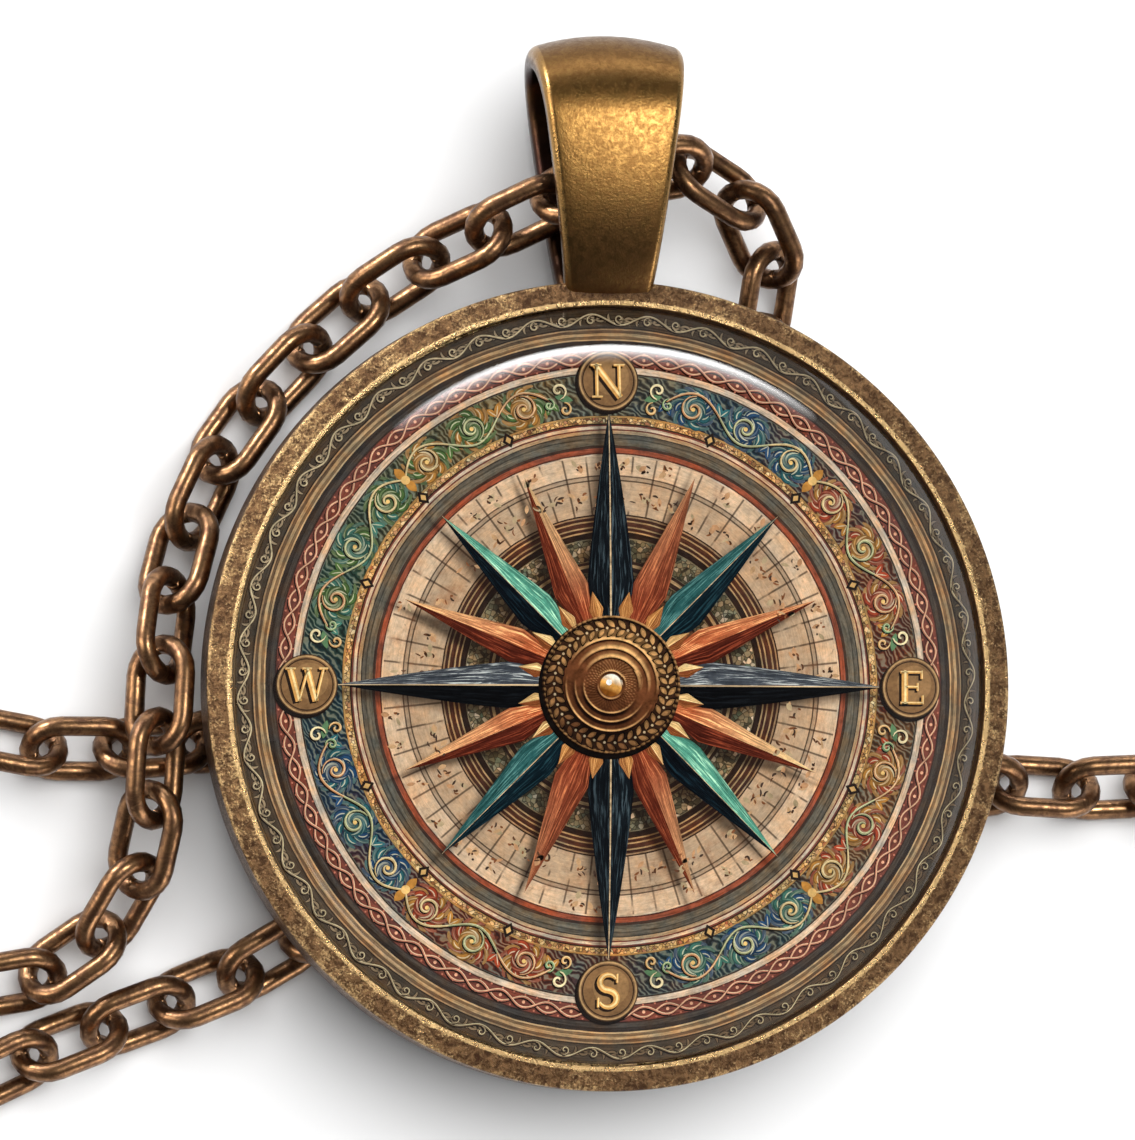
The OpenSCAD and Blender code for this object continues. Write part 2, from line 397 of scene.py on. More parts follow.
tray_bronze = bronze("tray_bronze", colour(64, 45, 33), colour(124, 95, 66),
                     colour(196, 164, 118), scale=1.35, bump=0.1, roughness=-0.06, flecks=3.0)
bail_bronze = bronze("bail_bronze", colour(112, 80, 43), colour(131, 99, 55),
                     colour(170, 134, 82), scale=1.5, bump=0.015, roughness=-0.1, flecks=0.3)
chain_bronze = bronze("chain_bronze", colour(94, 68, 51), colour(148, 112, 80),
                      colour(208, 174, 132), scale=0.8, bump=0.012, roughness=-0.08)
clasp_bronze = bronze("clasp_bronze", colour(100, 74, 54), colour(152, 117, 82),
                      colour(212, 180, 134), scale=0.8, bump=0.012, roughness=-0.1)


# Mesh helpers
def new_piece(name, vertices, faces, materials=(), smooth_angle=40):
    """An object whose place is in its mesh, shaded smooth up to an angle in degrees."""
    mesh = bpy.data.meshes.new(name)
    mesh.from_pydata([tuple(v) for v in vertices], [], faces)
    for material in materials:
        mesh.materials.append(material)
    mesh.update()
    soften(mesh, smooth_angle)
    return new_object(name, mesh)


def soften(mesh, angle):
    mesh.shade_smooth()
    mesh.set_sharp_from_angle(angle=radians(angle))


def set_attribute(piece, name, values, kind="FLOAT", field="value"):
    attribute = piece.data.attributes.new(name, kind, "POINT")
    attribute.data.foreach_set(field, np.asarray(values, dtype=np.float32).ravel())


def sheet_faces(rows, columns, close_columns=True):
    """Quads of a grid whose points run along the columns of each row in turn."""
    faces = []
    for first in range(0, (rows - 1) * columns, columns):
        for column in range(columns if close_columns else columns - 1):
            after = (column + 1) % columns
            faces.append((first + column, first + after,
                          first + columns + after, first + columns + column))
    return faces


def rounded_outline(points, radius, steps):
    """A line through points as rows of x, y, with its inner corners rounded; each point made
    comes with a mark that is 1 on a rounded corner and 0 a little beside it."""
    made, guard = [(*points[0], 0.0)], 0.06 * MM
    for before, corner, after in zip(points, points[1:], points[2:]):
        corner = Vector(corner)
        legs = [Vector(before) - corner, Vector(after) - corner]
        turn = legs[0].angle(legs[1]) / 2
        reach = min(radius / tan(turn), 0.3 * legs[0].length, 0.3 * legs[1].length)
        start, end = (corner + leg.normalized() * reach for leg in legs)
        arc = [start * (1 - t) ** 2 + corner * 2 * t * (1 - t) + end * t ** 2
               for t in shares(steps)]
        beside = [[(*(corner + leg.normalized() * (reach + guard)), 0.0)]
                  if leg.length > 3 * (reach + guard) else [] for leg in legs]
        made += beside[0] + [(*point, 1.0) for point in arc] + beside[1]
    made.append((*points[-1], 0.0))
    return made


def turned(name, profile, count, materials, smooth_angle=35):
    """A solid turned about the dial's middle; profile rows are radius, height and a mark.
    It starts and ends on the axis, and its surface is on the left of its way."""
    vertices, marks = [], []
    for number, (radius, height, mark) in enumerate(profile):
        copies = 1 if number in (0, len(profile) - 1) else count
        for step in range(copies):
            angle = TURN * step / count
            vertices.append(Vector((centre.x + radius * cos(angle),
                                    centre.y + radius * sin(angle), height)))
        marks += [mark] * copies
    faces = [tuple(1 + i for i in face[::-1]) for face in sheet_faces(len(profile) - 2, count)]
    last = len(vertices) - 1
    for step in range(count):
        after = (step + 1) % count
        faces.append((0, 1 + after, 1 + step))
        faces.append((last, last - count + step, last - count + after))
    piece = new_piece(name, vertices, faces, materials, smooth_angle)
    set_attribute(piece, "wear", marks)
    return piece


def made_plain(piece, name):
    """The piece with its modifiers worked in, as a new plain mesh; the old one goes."""
    bpy.context.view_layer.update()
    shape = bpy.data.meshes.new_from_object(
        piece.evaluated_get(bpy.context.evaluated_depsgraph_get()))
    bpy.data.objects.remove(piece)
    shape.name = name
    return new_object(name, shape)


# The cast tray and the folded bail, soldered to each other
LIP = 0.16 * MM
LIP_DROP = 0.02 * MM
TOP_WEAR, OUTER_WEAR, INNER_WEAR = 0.22, 0.45, 1.0
RUBBED_EDGE, RUBBED_FACE = 0.6, 0.1
# Painted shade on the bail: how dark its inner side and back leg are painted, and the shares of
# its rise below and above which it is painted darker towards its root and its top
HIDDEN_SHADE = 0.95
SHADED_ROOT, SHADED_TOP = 0.6, 0.72


def tray_profile():
    edge_z = tray_z + TRAY_H - RIM_SLOPE
    top_z = tray_z + TRAY_H
    corners = [
        (0, tray_z),
        (tray_r - 0.02 * MM, tray_z),
        (tray_r, edge_z),
        (well_r + LIP, top_z - LIP_DROP),
        (well_r + LIP * 0.6, top_z),
        (well_r, top_z),
        (well_r, tray_z + FLOOR_T),
        (0, tray_z + FLOOR_T),
    ]
    made = [(x, z, 0.0) for x, z, mark in rounded_outline(corners[:3], BACK_ROUND, 10)[:-1]]
    for x, z, mark in rounded_outline(corners[1:], 0.1 * MM, 4)[1:]:
        edge = (INNER_WEAR if x < well_r + LIP else OUTER_WEAR) * mark
        made.append((x, z, max(edge, TOP_WEAR if x > well_r and z > edge_z - SIDE_DROP else 0.0)))
    return made


def bail_station(share):
    """Middle of the ribbon at a share of its way from the front root over the top to the
    back root, as y and z, the outward normal, and how far round the fold it is."""
    depth = (BAIL_DEPTH - BAIL_T) / 2
    top = BAIL_FOLD_H - BAIL_T / 2
    leg = BAIL_RISE - BAIL_FOLD_H + BAIL_SINK - BAIL_T / 2
    mid_y = centre.y + tray_r + BAIL_RISE - BAIL_FOLD_H
    root = asin((centre.y + tray_r - BAIL_INSET - mid_y) / leg)
    angle = root + (pi - 2 * root) * share
    reach = top if sin(angle) > 0 else leg
    y = mid_y + reach * sin(angle)
    z = bail_mid_z + depth * cos(angle)
    normal = Vector((0, depth * sin(angle), reach * cos(angle))).normalized()
    return y, z, normal, max(0.0, sin(angle))


def ribbon_section(corner_r):
    """Round the ribbon's section: rows of side, face, and offsets from a corner's middle."""
    section, side_points, across_points = [], 8, 11
    for corner in range(4):
        side_x = 1 if corner in (0, 3) else -1
        side_n = 1 if corner in (0, 1) else -1
        for step in range(side_points):
            angle = pi / 2 * (corner + step / (side_points - 1))
            section.append((side_x, side_n, cos(angle) * corner_r, sin(angle) * corner_r))
        if corner in (0, 2):
            section += [(side_x * (1 - 2 * step / across_points), side_n, 0.0, side_n * corner_r)
                        for step in range(1, across_points)]
    return section


def bail_painted_shade(share, z):
    """How much painted shade darkens the bail's outside at a share of its rise: most on the back
    leg, and more towards its root and its top.
    """
    if z < bail_mid_z:
        return HIDDEN_SHADE
    root = max(0.0, 1 - max(0.0, share) / SHADED_ROOT)
    top = max(0.0, share - SHADED_TOP) / (1 - SHADED_TOP)
    return 0.5 * root + 0.35 * top


def bail_ribbon():
    stations, corner_r, crown = 72, 0.26 * MM, 0.07 * MM
    section = ribbon_section(corner_r)
    vertices, marks, dirt = [], [], []
    for station in range(stations):
        y, z, normal, over = bail_station(station / (stations - 1))
        share = (y - centre.y - tray_r) / BAIL_RISE
        painted_dark = bail_painted_shade(share, z)
        half_w = (BAIL_ROOT_W + (BAIL_TOP_W - BAIL_ROOT_W) * share) / 2
        for side_x, side_n, round_x, round_n in section:
            x = side_x * (half_w - corner_r) + round_x
            out = side_n * (BAIL_T / 2 - corner_r) + round_n
            bulge = crown * (1 - (x / half_w) ** 2) * (1 if side_n > 0 else 0)
            drop = BAIL_ARCH * (x / half_w) ** 2 * over ** 2
            vertices.append(Vector((centre.x + x, y - drop, z)) + normal * (out + bulge - crown))
            edge = abs(x) > half_w - corner_r * 0.9
            marks.append(RUBBED_EDGE if edge and side_n > 0 else RUBBED_FACE)
            # painted shade: dark on the inner face and back leg, and a little less on the front's
            # edges
            dirt.append(HIDDEN_SHADE if side_n < 0 else
                        painted_dark * (0.6 if edge and painted_dark < 0.9 else 1.0))
    count = len(section)
    faces = [face[::-1] for face in sheet_faces(stations, count)]
    faces.append(tuple(range(count)))
    faces.append(tuple((stations - 1) * count + i for i in reversed(range(count))))
    ribbon = new_piece("bail_ribbon", vertices, faces, (tray_bronze, bail_bronze))
    set_attribute(ribbon, "wear", marks)
    set_attribute(ribbon, "dirt", dirt)
    for face in ribbon.data.polygons:
        face.material_index = 1
    return ribbon


def facing_out(piece):
    """Turns every face outwards."""
    shape = bmesh.new()
    shape.from_mesh(piece.data)
    bmesh.ops.recalc_face_normals(shape, faces=shape.faces)
    shape.to_mesh(piece.data)
    shape.free()


def carry_marks(joined, sources):
    """Gives a joined piece the marks of the nearest points of the pieces it was made from."""
    rows = []
    for vertices, marks in sources:
        rows += zip(vertices, marks)
    tree = KDTree(len(rows))
    for i, (place, mark) in enumerate(rows):
        tree.insert(place, i)
    tree.balance()
    nearest = [rows[tree.find(v.co)[1]][1] for v in joined.data.vertices]
    for number, name in enumerate(("wear", "dirt")):
        if name in joined.data.attributes:
            joined.data.attributes.remove(joined.data.attributes[name])
        set_attribute(joined, name, [mark[number] for mark in nearest])


def marks_of(piece):
    """Copies of a piece's points and their two marks."""
    layers = [piece.data.attributes[name].data for name in ("wear", "dirt")]
    return ([v.co.copy() for v in piece.data.vertices],
            [tuple(layer[i].value for layer in layers) for i in range(len(layers[0]))])


def make_bezel():
    tray = turned("tray_body", tray_profile(), 240, (tray_bronze, bail_bronze))
    ribbon = bail_ribbon()
    side_z = tray_z + TRAY_H - RIM_SLOPE - SIDE_DROP
    # painted shade on the tray's outer side and back, below the rim
    set_attribute(tray, "dirt", [
        0.65 if v.co.z < side_z and hypot(v.co.x - centre.x, v.co.y - centre.y) > well_r
        else 0.0 for v in tray.data.vertices])
    facing_out(tray)
    facing_out(ribbon)
    join = tray.modifiers.new("solder", "BOOLEAN")
    join.operation = "UNION"
    join.solver = "EXACT"
    join.object = ribbon
    sources = [marks_of(tray), marks_of(ribbon)]
    cast = made_plain(tray, "bezel_cast")
    bpy.data.objects.remove(ribbon)
    carry_marks(cast, sources)
    soften(cast.data, 38)
    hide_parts("bezel")
    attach(cast, "root")


make_bezel()


# The glass dome: a cap on a short straight edge, glued to the print all over its flat base
DOME_H = 4.8 * MM
GLASS_INDEX = 1.5
CAP_R = (glass_r ** 2 + DOME_H ** 2) / (2 * DOME_H)


def make_glass():
    edge_top = glass_high.z - DOME_H
    cap_steps, corner = 40, 0.08 * MM
    profile = [(0, glass_low.z), (glass_r - corner, glass_low.z),
               (glass_r, glass_low.z + corner), (glass_r, edge_top - 0.02 * MM)]
    for step in range(cap_steps):
        angle = asin(glass_r / CAP_R) * (1 - step / cap_steps)
        profile.append((CAP_R * sin(angle), glass_high.z - CAP_R * (1 - cos(angle))))
    profile.append((0, glass_high.z))
    # the glue below the flat base leaves no air there to mirror anything
    glued_base = new_material("glued_base", Alpha=0.0)[0]
    glass = turned("glass_cabochon", [(*row, 0.0) for row in profile], 256,
                   (clear_glass(), glued_base), 30)
    for face in glass.data.polygons:
        face.material_index = int(0 in face.vertices)
    facing_out(glass)
    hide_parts("glass_dome")
    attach(glass, "root")


def clear_glass():
    """Clear glass that lets lamps light the print below it."""
    material, tree, shader = new_material("clear_glass", Base_Color=(0.97, 0.985, 0.98, 1),
                                          Roughness=0.0, IOR=GLASS_INDEX, Transmission_Weight=1.0)
    ray = add_node(tree, "ShaderNodeLightPath")
    clear = add_node(tree, "ShaderNodeBsdfTransparent")
    choice = add_node(tree, "ShaderNodeMixShader", {"Fac": ray.outputs["Is Shadow Ray"]})
    feed(tree, choice.inputs[1], shader.outputs[0])
    feed(tree, choice.inputs[2], clear.outputs[0])
    set_surface(tree, choice)
    return material


make_glass()


# What the dome does to the print below it, seen from straight above
def under_glass(seen):
    """Radius on the print, in mm, of what shows at a radius of the dome."""
    cap, edge = CAP_R / MM, (glass_high.z - DOME_H - glass_low.z) / MM
    tilt = asin(min(1.0, seen / cap))
    inside = asin(sin(tilt) / GLASS_INDEX)
    height = sqrt(max(0.0, cap ** 2 - seen ** 2)) - (cap - DOME_H / MM) + edge
    return seen - height * tan(tilt - inside)


def lens_terms():
    """Terms a, b, c of seen = r (a + b r^2 + c r^4) for a radius r on the print."""
    seen = np.linspace(1.0, 12.3, 24)
    print_r = np.array([under_glass(s) for s in seen])
    table = np.stack([np.ones_like(print_r), print_r ** 2, print_r ** 4], axis=1)
    return np.linalg.lstsq(table, seen / print_r, rcond=None)[0]


# The printed dial: its radii are in millimetres, and they and its inks are as the dome shows them
GLASS_LOSS = 0.88
RING_SPAN = 12.6
RAMP_STOPS = 30
PARCHMENT_LOW, PARCHMENT_HIGH = 5.64, 7.58
MOSAIC_BANDS = ((3.28, 3.76), (4.14, 4.84))
GOLD_BAND, GOLD_BAND_R = (8.67, 8.85), 8.76
ORNAMENT_BAND = (8.92, 10.27)
BAND_EDGE = 0.01


def ink(red, green, blue):
    return tuple(min(1.0, value / GLASS_LOSS) for value in colour(red, green, blue)[:3]) + (1.0,)


CREAM = ink(198, 168, 136)
PARCHMENT = ink(174, 146, 116)
LINE = ink(158, 124, 84)
DARK_LINE = ink(46, 32, 26)
RINGS = [
    # from this radius outwards, the ring's ink
    (0.00, ink(96, 64, 42)),
    (3.20, DARK_LINE),
    (3.26, ink(104, 88, 66)),
    (3.78, DARK_LINE),
    (3.90, ink(150, 122, 86)),
    (4.00, DARK_LINE),
    (4.12, ink(114, 99, 74)),
    (4.86, ink(40, 28, 22)),
    (5.04, LINE),
    (5.09, ink(62, 37, 28)),
    (5.21, LINE),
    (5.26, ink(70, 41, 30)),
    (5.38, LINE),
    (5.43, ink(58, 36, 28)),
    (5.53, ink(140, 110, 80)),
    (5.58, DARK_LINE),
    (PARCHMENT_LOW, PARCHMENT),
    (6.72, ink(82, 66, 52)),
    (6.77, ink(158, 134, 108)),
    (6.86, ink(90, 72, 58)),
    (6.90, CREAM),
    (PARCHMENT_HIGH, ink(80, 44, 34)),
    (7.63, ink(136, 70, 48)),
    (7.78, ink(62, 46, 38)),
    (7.88, ink(92, 84, 70)),
    (7.98, ink(60, 56, 48)),
    (8.01, ink(98, 90, 76)),
    (8.12, ink(70, 64, 54)),
    (8.15, ink(88, 80, 68)),
    (8.22, ink(58, 52, 45)),
    (8.31, ink(160, 134, 102)),
    (8.38, ink(96, 50, 42)),
    (8.42, ink(192, 168, 140)),
    (8.54, ink(104, 54, 45)),
    (8.57, ink(176, 150, 118)),
    (8.61, DARK_LINE),
    (8.66, ink(158, 120, 70)),
    (8.86, DARK_LINE),
    (8.92, ink(78, 88, 80)),
    (10.27, ink(58, 44, 36)),
    (10.30, ink(194, 170, 144)),
    (10.50, ink(72, 40, 34)),
    (10.54, ink(106, 57, 46)),
    (11.06, ink(52, 38, 33)),
    (11.11, ink(64, 56, 49)),
    (11.27, ink(46, 38, 33)),
    (11.38, ink(176, 146, 106)),
    (11.45, ink(110, 86, 60)),
    (11.55, ink(162, 132, 94)),
    (11.66, ink(92, 70, 50)),
    (11.72, ink(150, 120, 86)),
    (11.79, ink(42, 33, 26)),
    (11.85, ink(68, 56, 43)),
    (12.42, ink(50, 38, 29)),
]
MATT = {"Roughness": 0.6, "Specular_IOR_Level": 0.0}
CELLS = 60
MOSAIC = [(0.0, ink(42, 38, 29)), (0.3, ink(84, 76, 54)), (0.6, ink(130, 106, 76)),
          (0.8, ink(66, 78, 62)), (1.0, ink(190, 160, 128))]
GOLD_BEADS = [(0.0, ink(106, 62, 40)), (0.3, ink(190, 148, 88)), (0.6, ink(220, 182, 124)),
              (0.8, ink(150, 84, 56)), (1.0, ink(234, 206, 152))]
TEAL, BLUE, GREEN = ink(44, 98, 104), ink(36, 70, 104), ink(76, 104, 54)
GOLD, RUST, SEA = ink(176, 122, 54), ink(158, 64, 38), ink(64, 112, 98)
CLUSTERS = [
    # the leaf inks and the ground of each eighth of the ornament ring, from the east on
    (RUST, GOLD, ink(92, 44, 28)),
    (TEAL, BLUE, ink(28, 50, 62)),
    (GOLD, GREEN, ink(92, 76, 46)),
    (GREEN, SEA, ink(40, 62, 50)),
    (BLUE, TEAL, ink(26, 44, 64)),
    (RUST, GOLD, ink(96, 46, 30)),
    (SEA, BLUE, ink(34, 58, 62)),
    (GOLD, RUST, ink(98, 62, 34)),
]


def ring_inks(tree, radius):
    """The ink of the ring at a radius."""
    found = None
    for first in range(0, len(RINGS), RAMP_STOPS):
        rows = RINGS[first:first + RAMP_STOPS]
        shade = colour_steps(tree, radius / RING_SPAN,
                             [(start / RING_SPAN, row_ink) for start, row_ink in rows], "CONSTANT")
        found = shade if found is None else mix_colours(
            tree, radius.math("GREATER_THAN", rows[0][0]), found, shade)
    return found


def print_material():
    """The whole print but for what is drawn above it; seen_r is a radius through the dome,
    and drawn_r the same with an unsteady hand."""
    material, tree, shader = new_material("dial_print", **MATT)
    place = object_mm(tree, centre)
    x, y = parts_of(tree, place)
    print_r = (x * x + y * y).math("SQRT")
    square = print_r * print_r
    a, b, c = (float(term) for term in lens_terms())
    lens = square * (square * c + b) + a
    seen_r = print_r * lens
    drawn_r = seen_r + (noise_value(tree, place, 0.8, 3.0) - 0.5) * 0.06
    angle = y.math("ARCTAN2", x)
    parchment = drawn_r.inside(PARCHMENT_LOW, PARCHMENT_HIGH, BAND_EDGE)

    streaks = use_group(tree, brush_streaks, Along=angle * 9.0, Across=seen_r,
                        Length=0.7, Width=0.06)["Streaks"]
    streak = (Value(tree, streaks) - 0.5) * (parchment * -0.5 + 0.8)
    inks = shaded(tree, ring_inks(tree, drawn_r), streak + 1.0)
    mosaic = shaded(tree, stones(tree, place, 7.5, MOSAIC), seen_r.step(4.0, 4.9) * 0.7 + 0.75)
    lines = cell_lines(tree, place, angle, seen_r)
    stains = noise_value(tree, place, 1.1, 5.0, 0.72, 0.4).step(0.5, 0.72)
    inner, outer = (seen_r.inside(*band, BAND_EDGE) for band in MOSAIC_BANDS)
    for share, layer in (
            (inner.most(outer), mosaic),
            (seen_r.inside(*GOLD_BAND, BAND_EDGE), stones(tree, place, 9.0, GOLD_BEADS)),
            (drawn_r.inside(*ORNAMENT_BAND, BAND_EDGE), ornament_ground(tree, place, angle)),
            (lines * parchment * 0.8, ink(52, 36, 28)),
            (stains * parchment * 0.5, ink(140, 94, 64))):
        inks = mix_colours(tree, share, inks, layer)

    tinge = colour_steps(tree, noise_value(tree, place, 1.4, 4.0, 0.65), [
        (0.34, (0.76, 0.9, 1.05, 1)), (0.5, (1, 1, 1, 1)), (0.66, (1.18, 0.96, 0.76, 1))])
    inks = mix_colours(tree, parchment * -0.55 + 1.0, inks, tinge, "MULTIPLY")
    age = noise_value(tree, place, 0.9, 5.0, 0.65)
    fleck = noise_value(tree, place, 7.0, 4.0, 0.7)
    inks = shaded(tree, inks, (age - 0.5) * 0.8 + (fleck - 0.5) * 0.9 + 1.0)
    specks = noise_value(tree, place, 4.6, 5.0, 0.75, 0.8).step(0.57, 0.72)
    inks = mix_colours(tree, specks * 0.4, inks, ink(48, 34, 27))
    shade = star_shadow(x * lens, y * lens)
    inks = mix_colours(tree, shade * 0.8, inks, ink(24, 16, 13))
    fill(tree, shader, {"Base Color": inks})
    return material


def turn_share(angle, count, start=0.0):
    """How far an angle is through its own sector of count, from 0 to 1."""
    return ((angle / TURN + 1.0) * count + start).math("FRACT")


def stones(tree, place, scale, shades):
    """Small stones of a few inks with dark joints."""
    edges, cells = (add_node(tree, "ShaderNodeTexVoronoi", {"Vector": place, "Scale": scale},
                             feature=feature) for feature in ("DISTANCE_TO_EDGE", "F1"))
    tone, _ = parts_of(tree, cells.outputs["Color"])
    joint = Value(tree, edges.outputs["Distance"]).step(0.12, 0.02)
    return mix_colours(tree, joint * 0.85, colour_steps(tree, tone, shades), ink(32, 25, 20))


def cell_lines(tree, place, angle, seen_r):
    """The thin lines between the cells of the two parchment rows."""
    from_line = (turn_share(angle, CELLS) - 0.5).size() * -1.0 + 0.5
    width = from_line * (TURN / CELLS) * seen_r
    uneven = noise_value(tree, place, 1.3, 2.0)
    return width.step(0.05, 0.015) * (uneven - 0.36).step(0.0, 0.12)


def ornament_ground(tree, place, angle):
    """Ground of the ornament ring: dark tints that change into each other, finely hatched."""
    drift = noise_value(tree, place, 0.8, 3.0, 0.6)
    share = turn_share(angle + (drift - 0.5) * 1.3, 1)
    tints = colour_steps(tree, share, [((i + 0.5) / 8, row[2]) for i, row in enumerate(CLUSTERS)])
    hatch = add_node(tree, "ShaderNodeTexWave", {
        "Vector": place, "Scale": 2.6, "Distortion": 14.0, "Detail": 2.0,
        "Detail Scale": 0.7, "Detail Roughness": 0.5}, wave_type="BANDS",
        bands_direction="DIAGONAL")
    line = Value(tree, hatch.outputs["Fac"])
    hatched = mix_colours(tree, line.step(0.6, 1.0) * 0.4, tints, ink(150, 152, 128))
    return mix_colours(tree, line.step(0.45, 0.0) * 0.75, hatched, ink(20, 22, 22))


# The compass rose: four families of points, in millimetres as seen through the dome
Points = namedtuple("Points", "count first tip wide half_width base bow ridge")
POINTS = {
    # count, the first's degrees, radius of the tip and of the widest place, half a width
    # there, radius of the base, bow of the sides, width of the ridge line
    "small": Points(8, 22.5, 7.42, 3.4, 0.6, 1.2, 1.0, 0.0),
    "middle": Points(4, 45.0, 7.9, 3.4, 0.68, 1.2, 1.1, 0.016),
    "great": Points(4, 0.0, 9.1, 3.2, 0.78, 1.0, 1.25, 0.032),
    "foot": Points(16, 11.25, 3.15, 2.55, 0.25, 1.9, 1.0, 0.0),
}
LIGHT_FROM = radians(80)
SHADOW_BY = (-0.3, -0.26)
LAYER = 0.004 * MM
INKS = {
    # body inks in shadow, half light and full light, then the brush strokes over each
    "great": (ink(7, 8, 10), ink(17, 23, 28), ink(66, 71, 78),
              ink(14, 17, 20), ink(62, 76, 82), ink(176, 180, 176)),
    "middle": (ink(7, 12, 17), ink(20, 56, 68), ink(84, 156, 132),
               ink(16, 34, 42), ink(50, 100, 106), ink(170, 214, 180)),
    "small": (ink(74, 28, 18), ink(134, 58, 36), ink(182, 88, 50),
              ink(118, 52, 31), ink(180, 106, 64), ink(232, 180, 120)),
    "foot": (ink(112, 58, 30), ink(176, 116, 60), ink(214, 176, 114),
             ink(150, 92, 50), ink(220, 176, 112), ink(246, 226, 174)),
}
TIP_INK = ink(234, 204, 146)
PALE_TIPS = (0.3, 0.6, 1.2, 0.7, 0.8, 0.4, 0.7, 1.3)
RIDGE_INK = ink(184, 158, 122)


def blend(first, second, share):
    share = min(1.0, max(0.0, share))
    return tuple(a + (b - a) * share for a, b in zip(first, second))


def half_at(family, along):
    """Half a point's width at a radius."""
    if along > family.wide:
        share = (along - family.wide) / (family.tip - family.wide)
        return family.half_width * (1 - share ** family.bow)
    return family.half_width * (along - family.base) / (family.wide - family.base)


def star_shadow(x, y):
    """The shadow that the rose is painted with on the paper."""
    x, y = x - SHADOW_BY[0], y - SHADOW_BY[1]
    radius = (x * x + y * y).math("SQRT")
    angle = y.math("ARCTAN2", x)
    shade = None
    for name, soft in (("great", 0.3), ("middle", 0.3), ("small", 0.2)):
        family = POINTS[name]
        share = turn_share(angle - radians(family.first), family.count, 0.5)
        off = (share - 0.5) * (TURN / family.count)
        along = radius * off.math("COSINE")
        beside = (radius * off.math("SINE")).size()
        outer = (along * -1.0 + family.tip) * (family.half_width / (family.tip - family.wide))
        inner = (along - family.base) * (family.half_width / (family.wide - family.base))
        found = (outer.least(inner) - beside).step(-soft, soft * 0.7)
        shade = found if shade is None else shade.most(found)
    return shade


def on_print(x, y, layer):
    """Where what is seen at x, y through the dome lies on the print, a layer above it."""
    seen = hypot(x, y)
    if seen < 1e-6:
        seen = 0.01
    share = under_glass(seen) / seen * MM
    return Vector((centre.x + x * share, centre.y + y * share, dial_top + layer * LAYER))


def facet_inks(name, number, lit, along, across):
    """Body ink and stroke ink of a facet that faces the light by lit, at a share along from
    its base to its tip and across from its ridge to its edge."""
    made = []
    for dark, half, full in (INKS[name][:3], INKS[name][3:]):
        shade = blend(dark, half, lit + 0.75) if lit < 0.25 else blend(
            half, full, (lit - 0.52) / 0.3)
        made.append(blend(shade, dark, 0.4 * across ** 3))
    if name == "small":
        pale = PALE_TIPS[number] * max(0.0, 0.3 + 0.7 * lit) * max(0.0, along - 0.25)
        made = [blend(shade, TIP_INK, pale) for shade in made]
    return made


def draw_family(drawing, name, layer):
    """A family's facets, two halves to a point, and a thin ridge line if it has one."""
    family = POINTS[name]
    steps, across_steps, ridge_from = 20, 5, 0.2
    for number in range(family.count):
        angle = radians(family.first) + TURN * number / family.count
        out = Vector((cos(angle), sin(angle)))
        beside = Vector((-out.y, out.x))
        for side in (-1, 1):
            lit = cos(atan2(beside.y * side, beside.x * side) - LIGHT_FROM)
            corners = []
            for share in shares(steps):
                along = family.base + (family.tip - family.base) * share
                half = half_at(family, along) * side
                for across in shares(across_steps):
                    corners.append((tuple(out * along + beside * half * across),
                                    *facet_inks(name, number, lit, share, across),
                                    (along, across * 0.7 + number * 3 + side, 0.0)))
            points, bodies, strokes, grains = zip(*corners)
            drawing.sheet(points, steps + 1, across_steps + 1, bodies, layer, side > 0,
                          grains, strokes)
        if family.ridge:
            ridge = []
            for share in shares(steps):
                along = family.base + ridge_from + (family.tip - family.base - ridge_from) * share
                for side in (-1, 1):
                    ridge.append(tuple(
                        out * along + beside * family.ridge * (1 - 0.6 * share) * side))
            drawing.sheet(ridge, steps + 1, 2, [RIDGE_INK] * len(ridge), layer + 0.5, True)


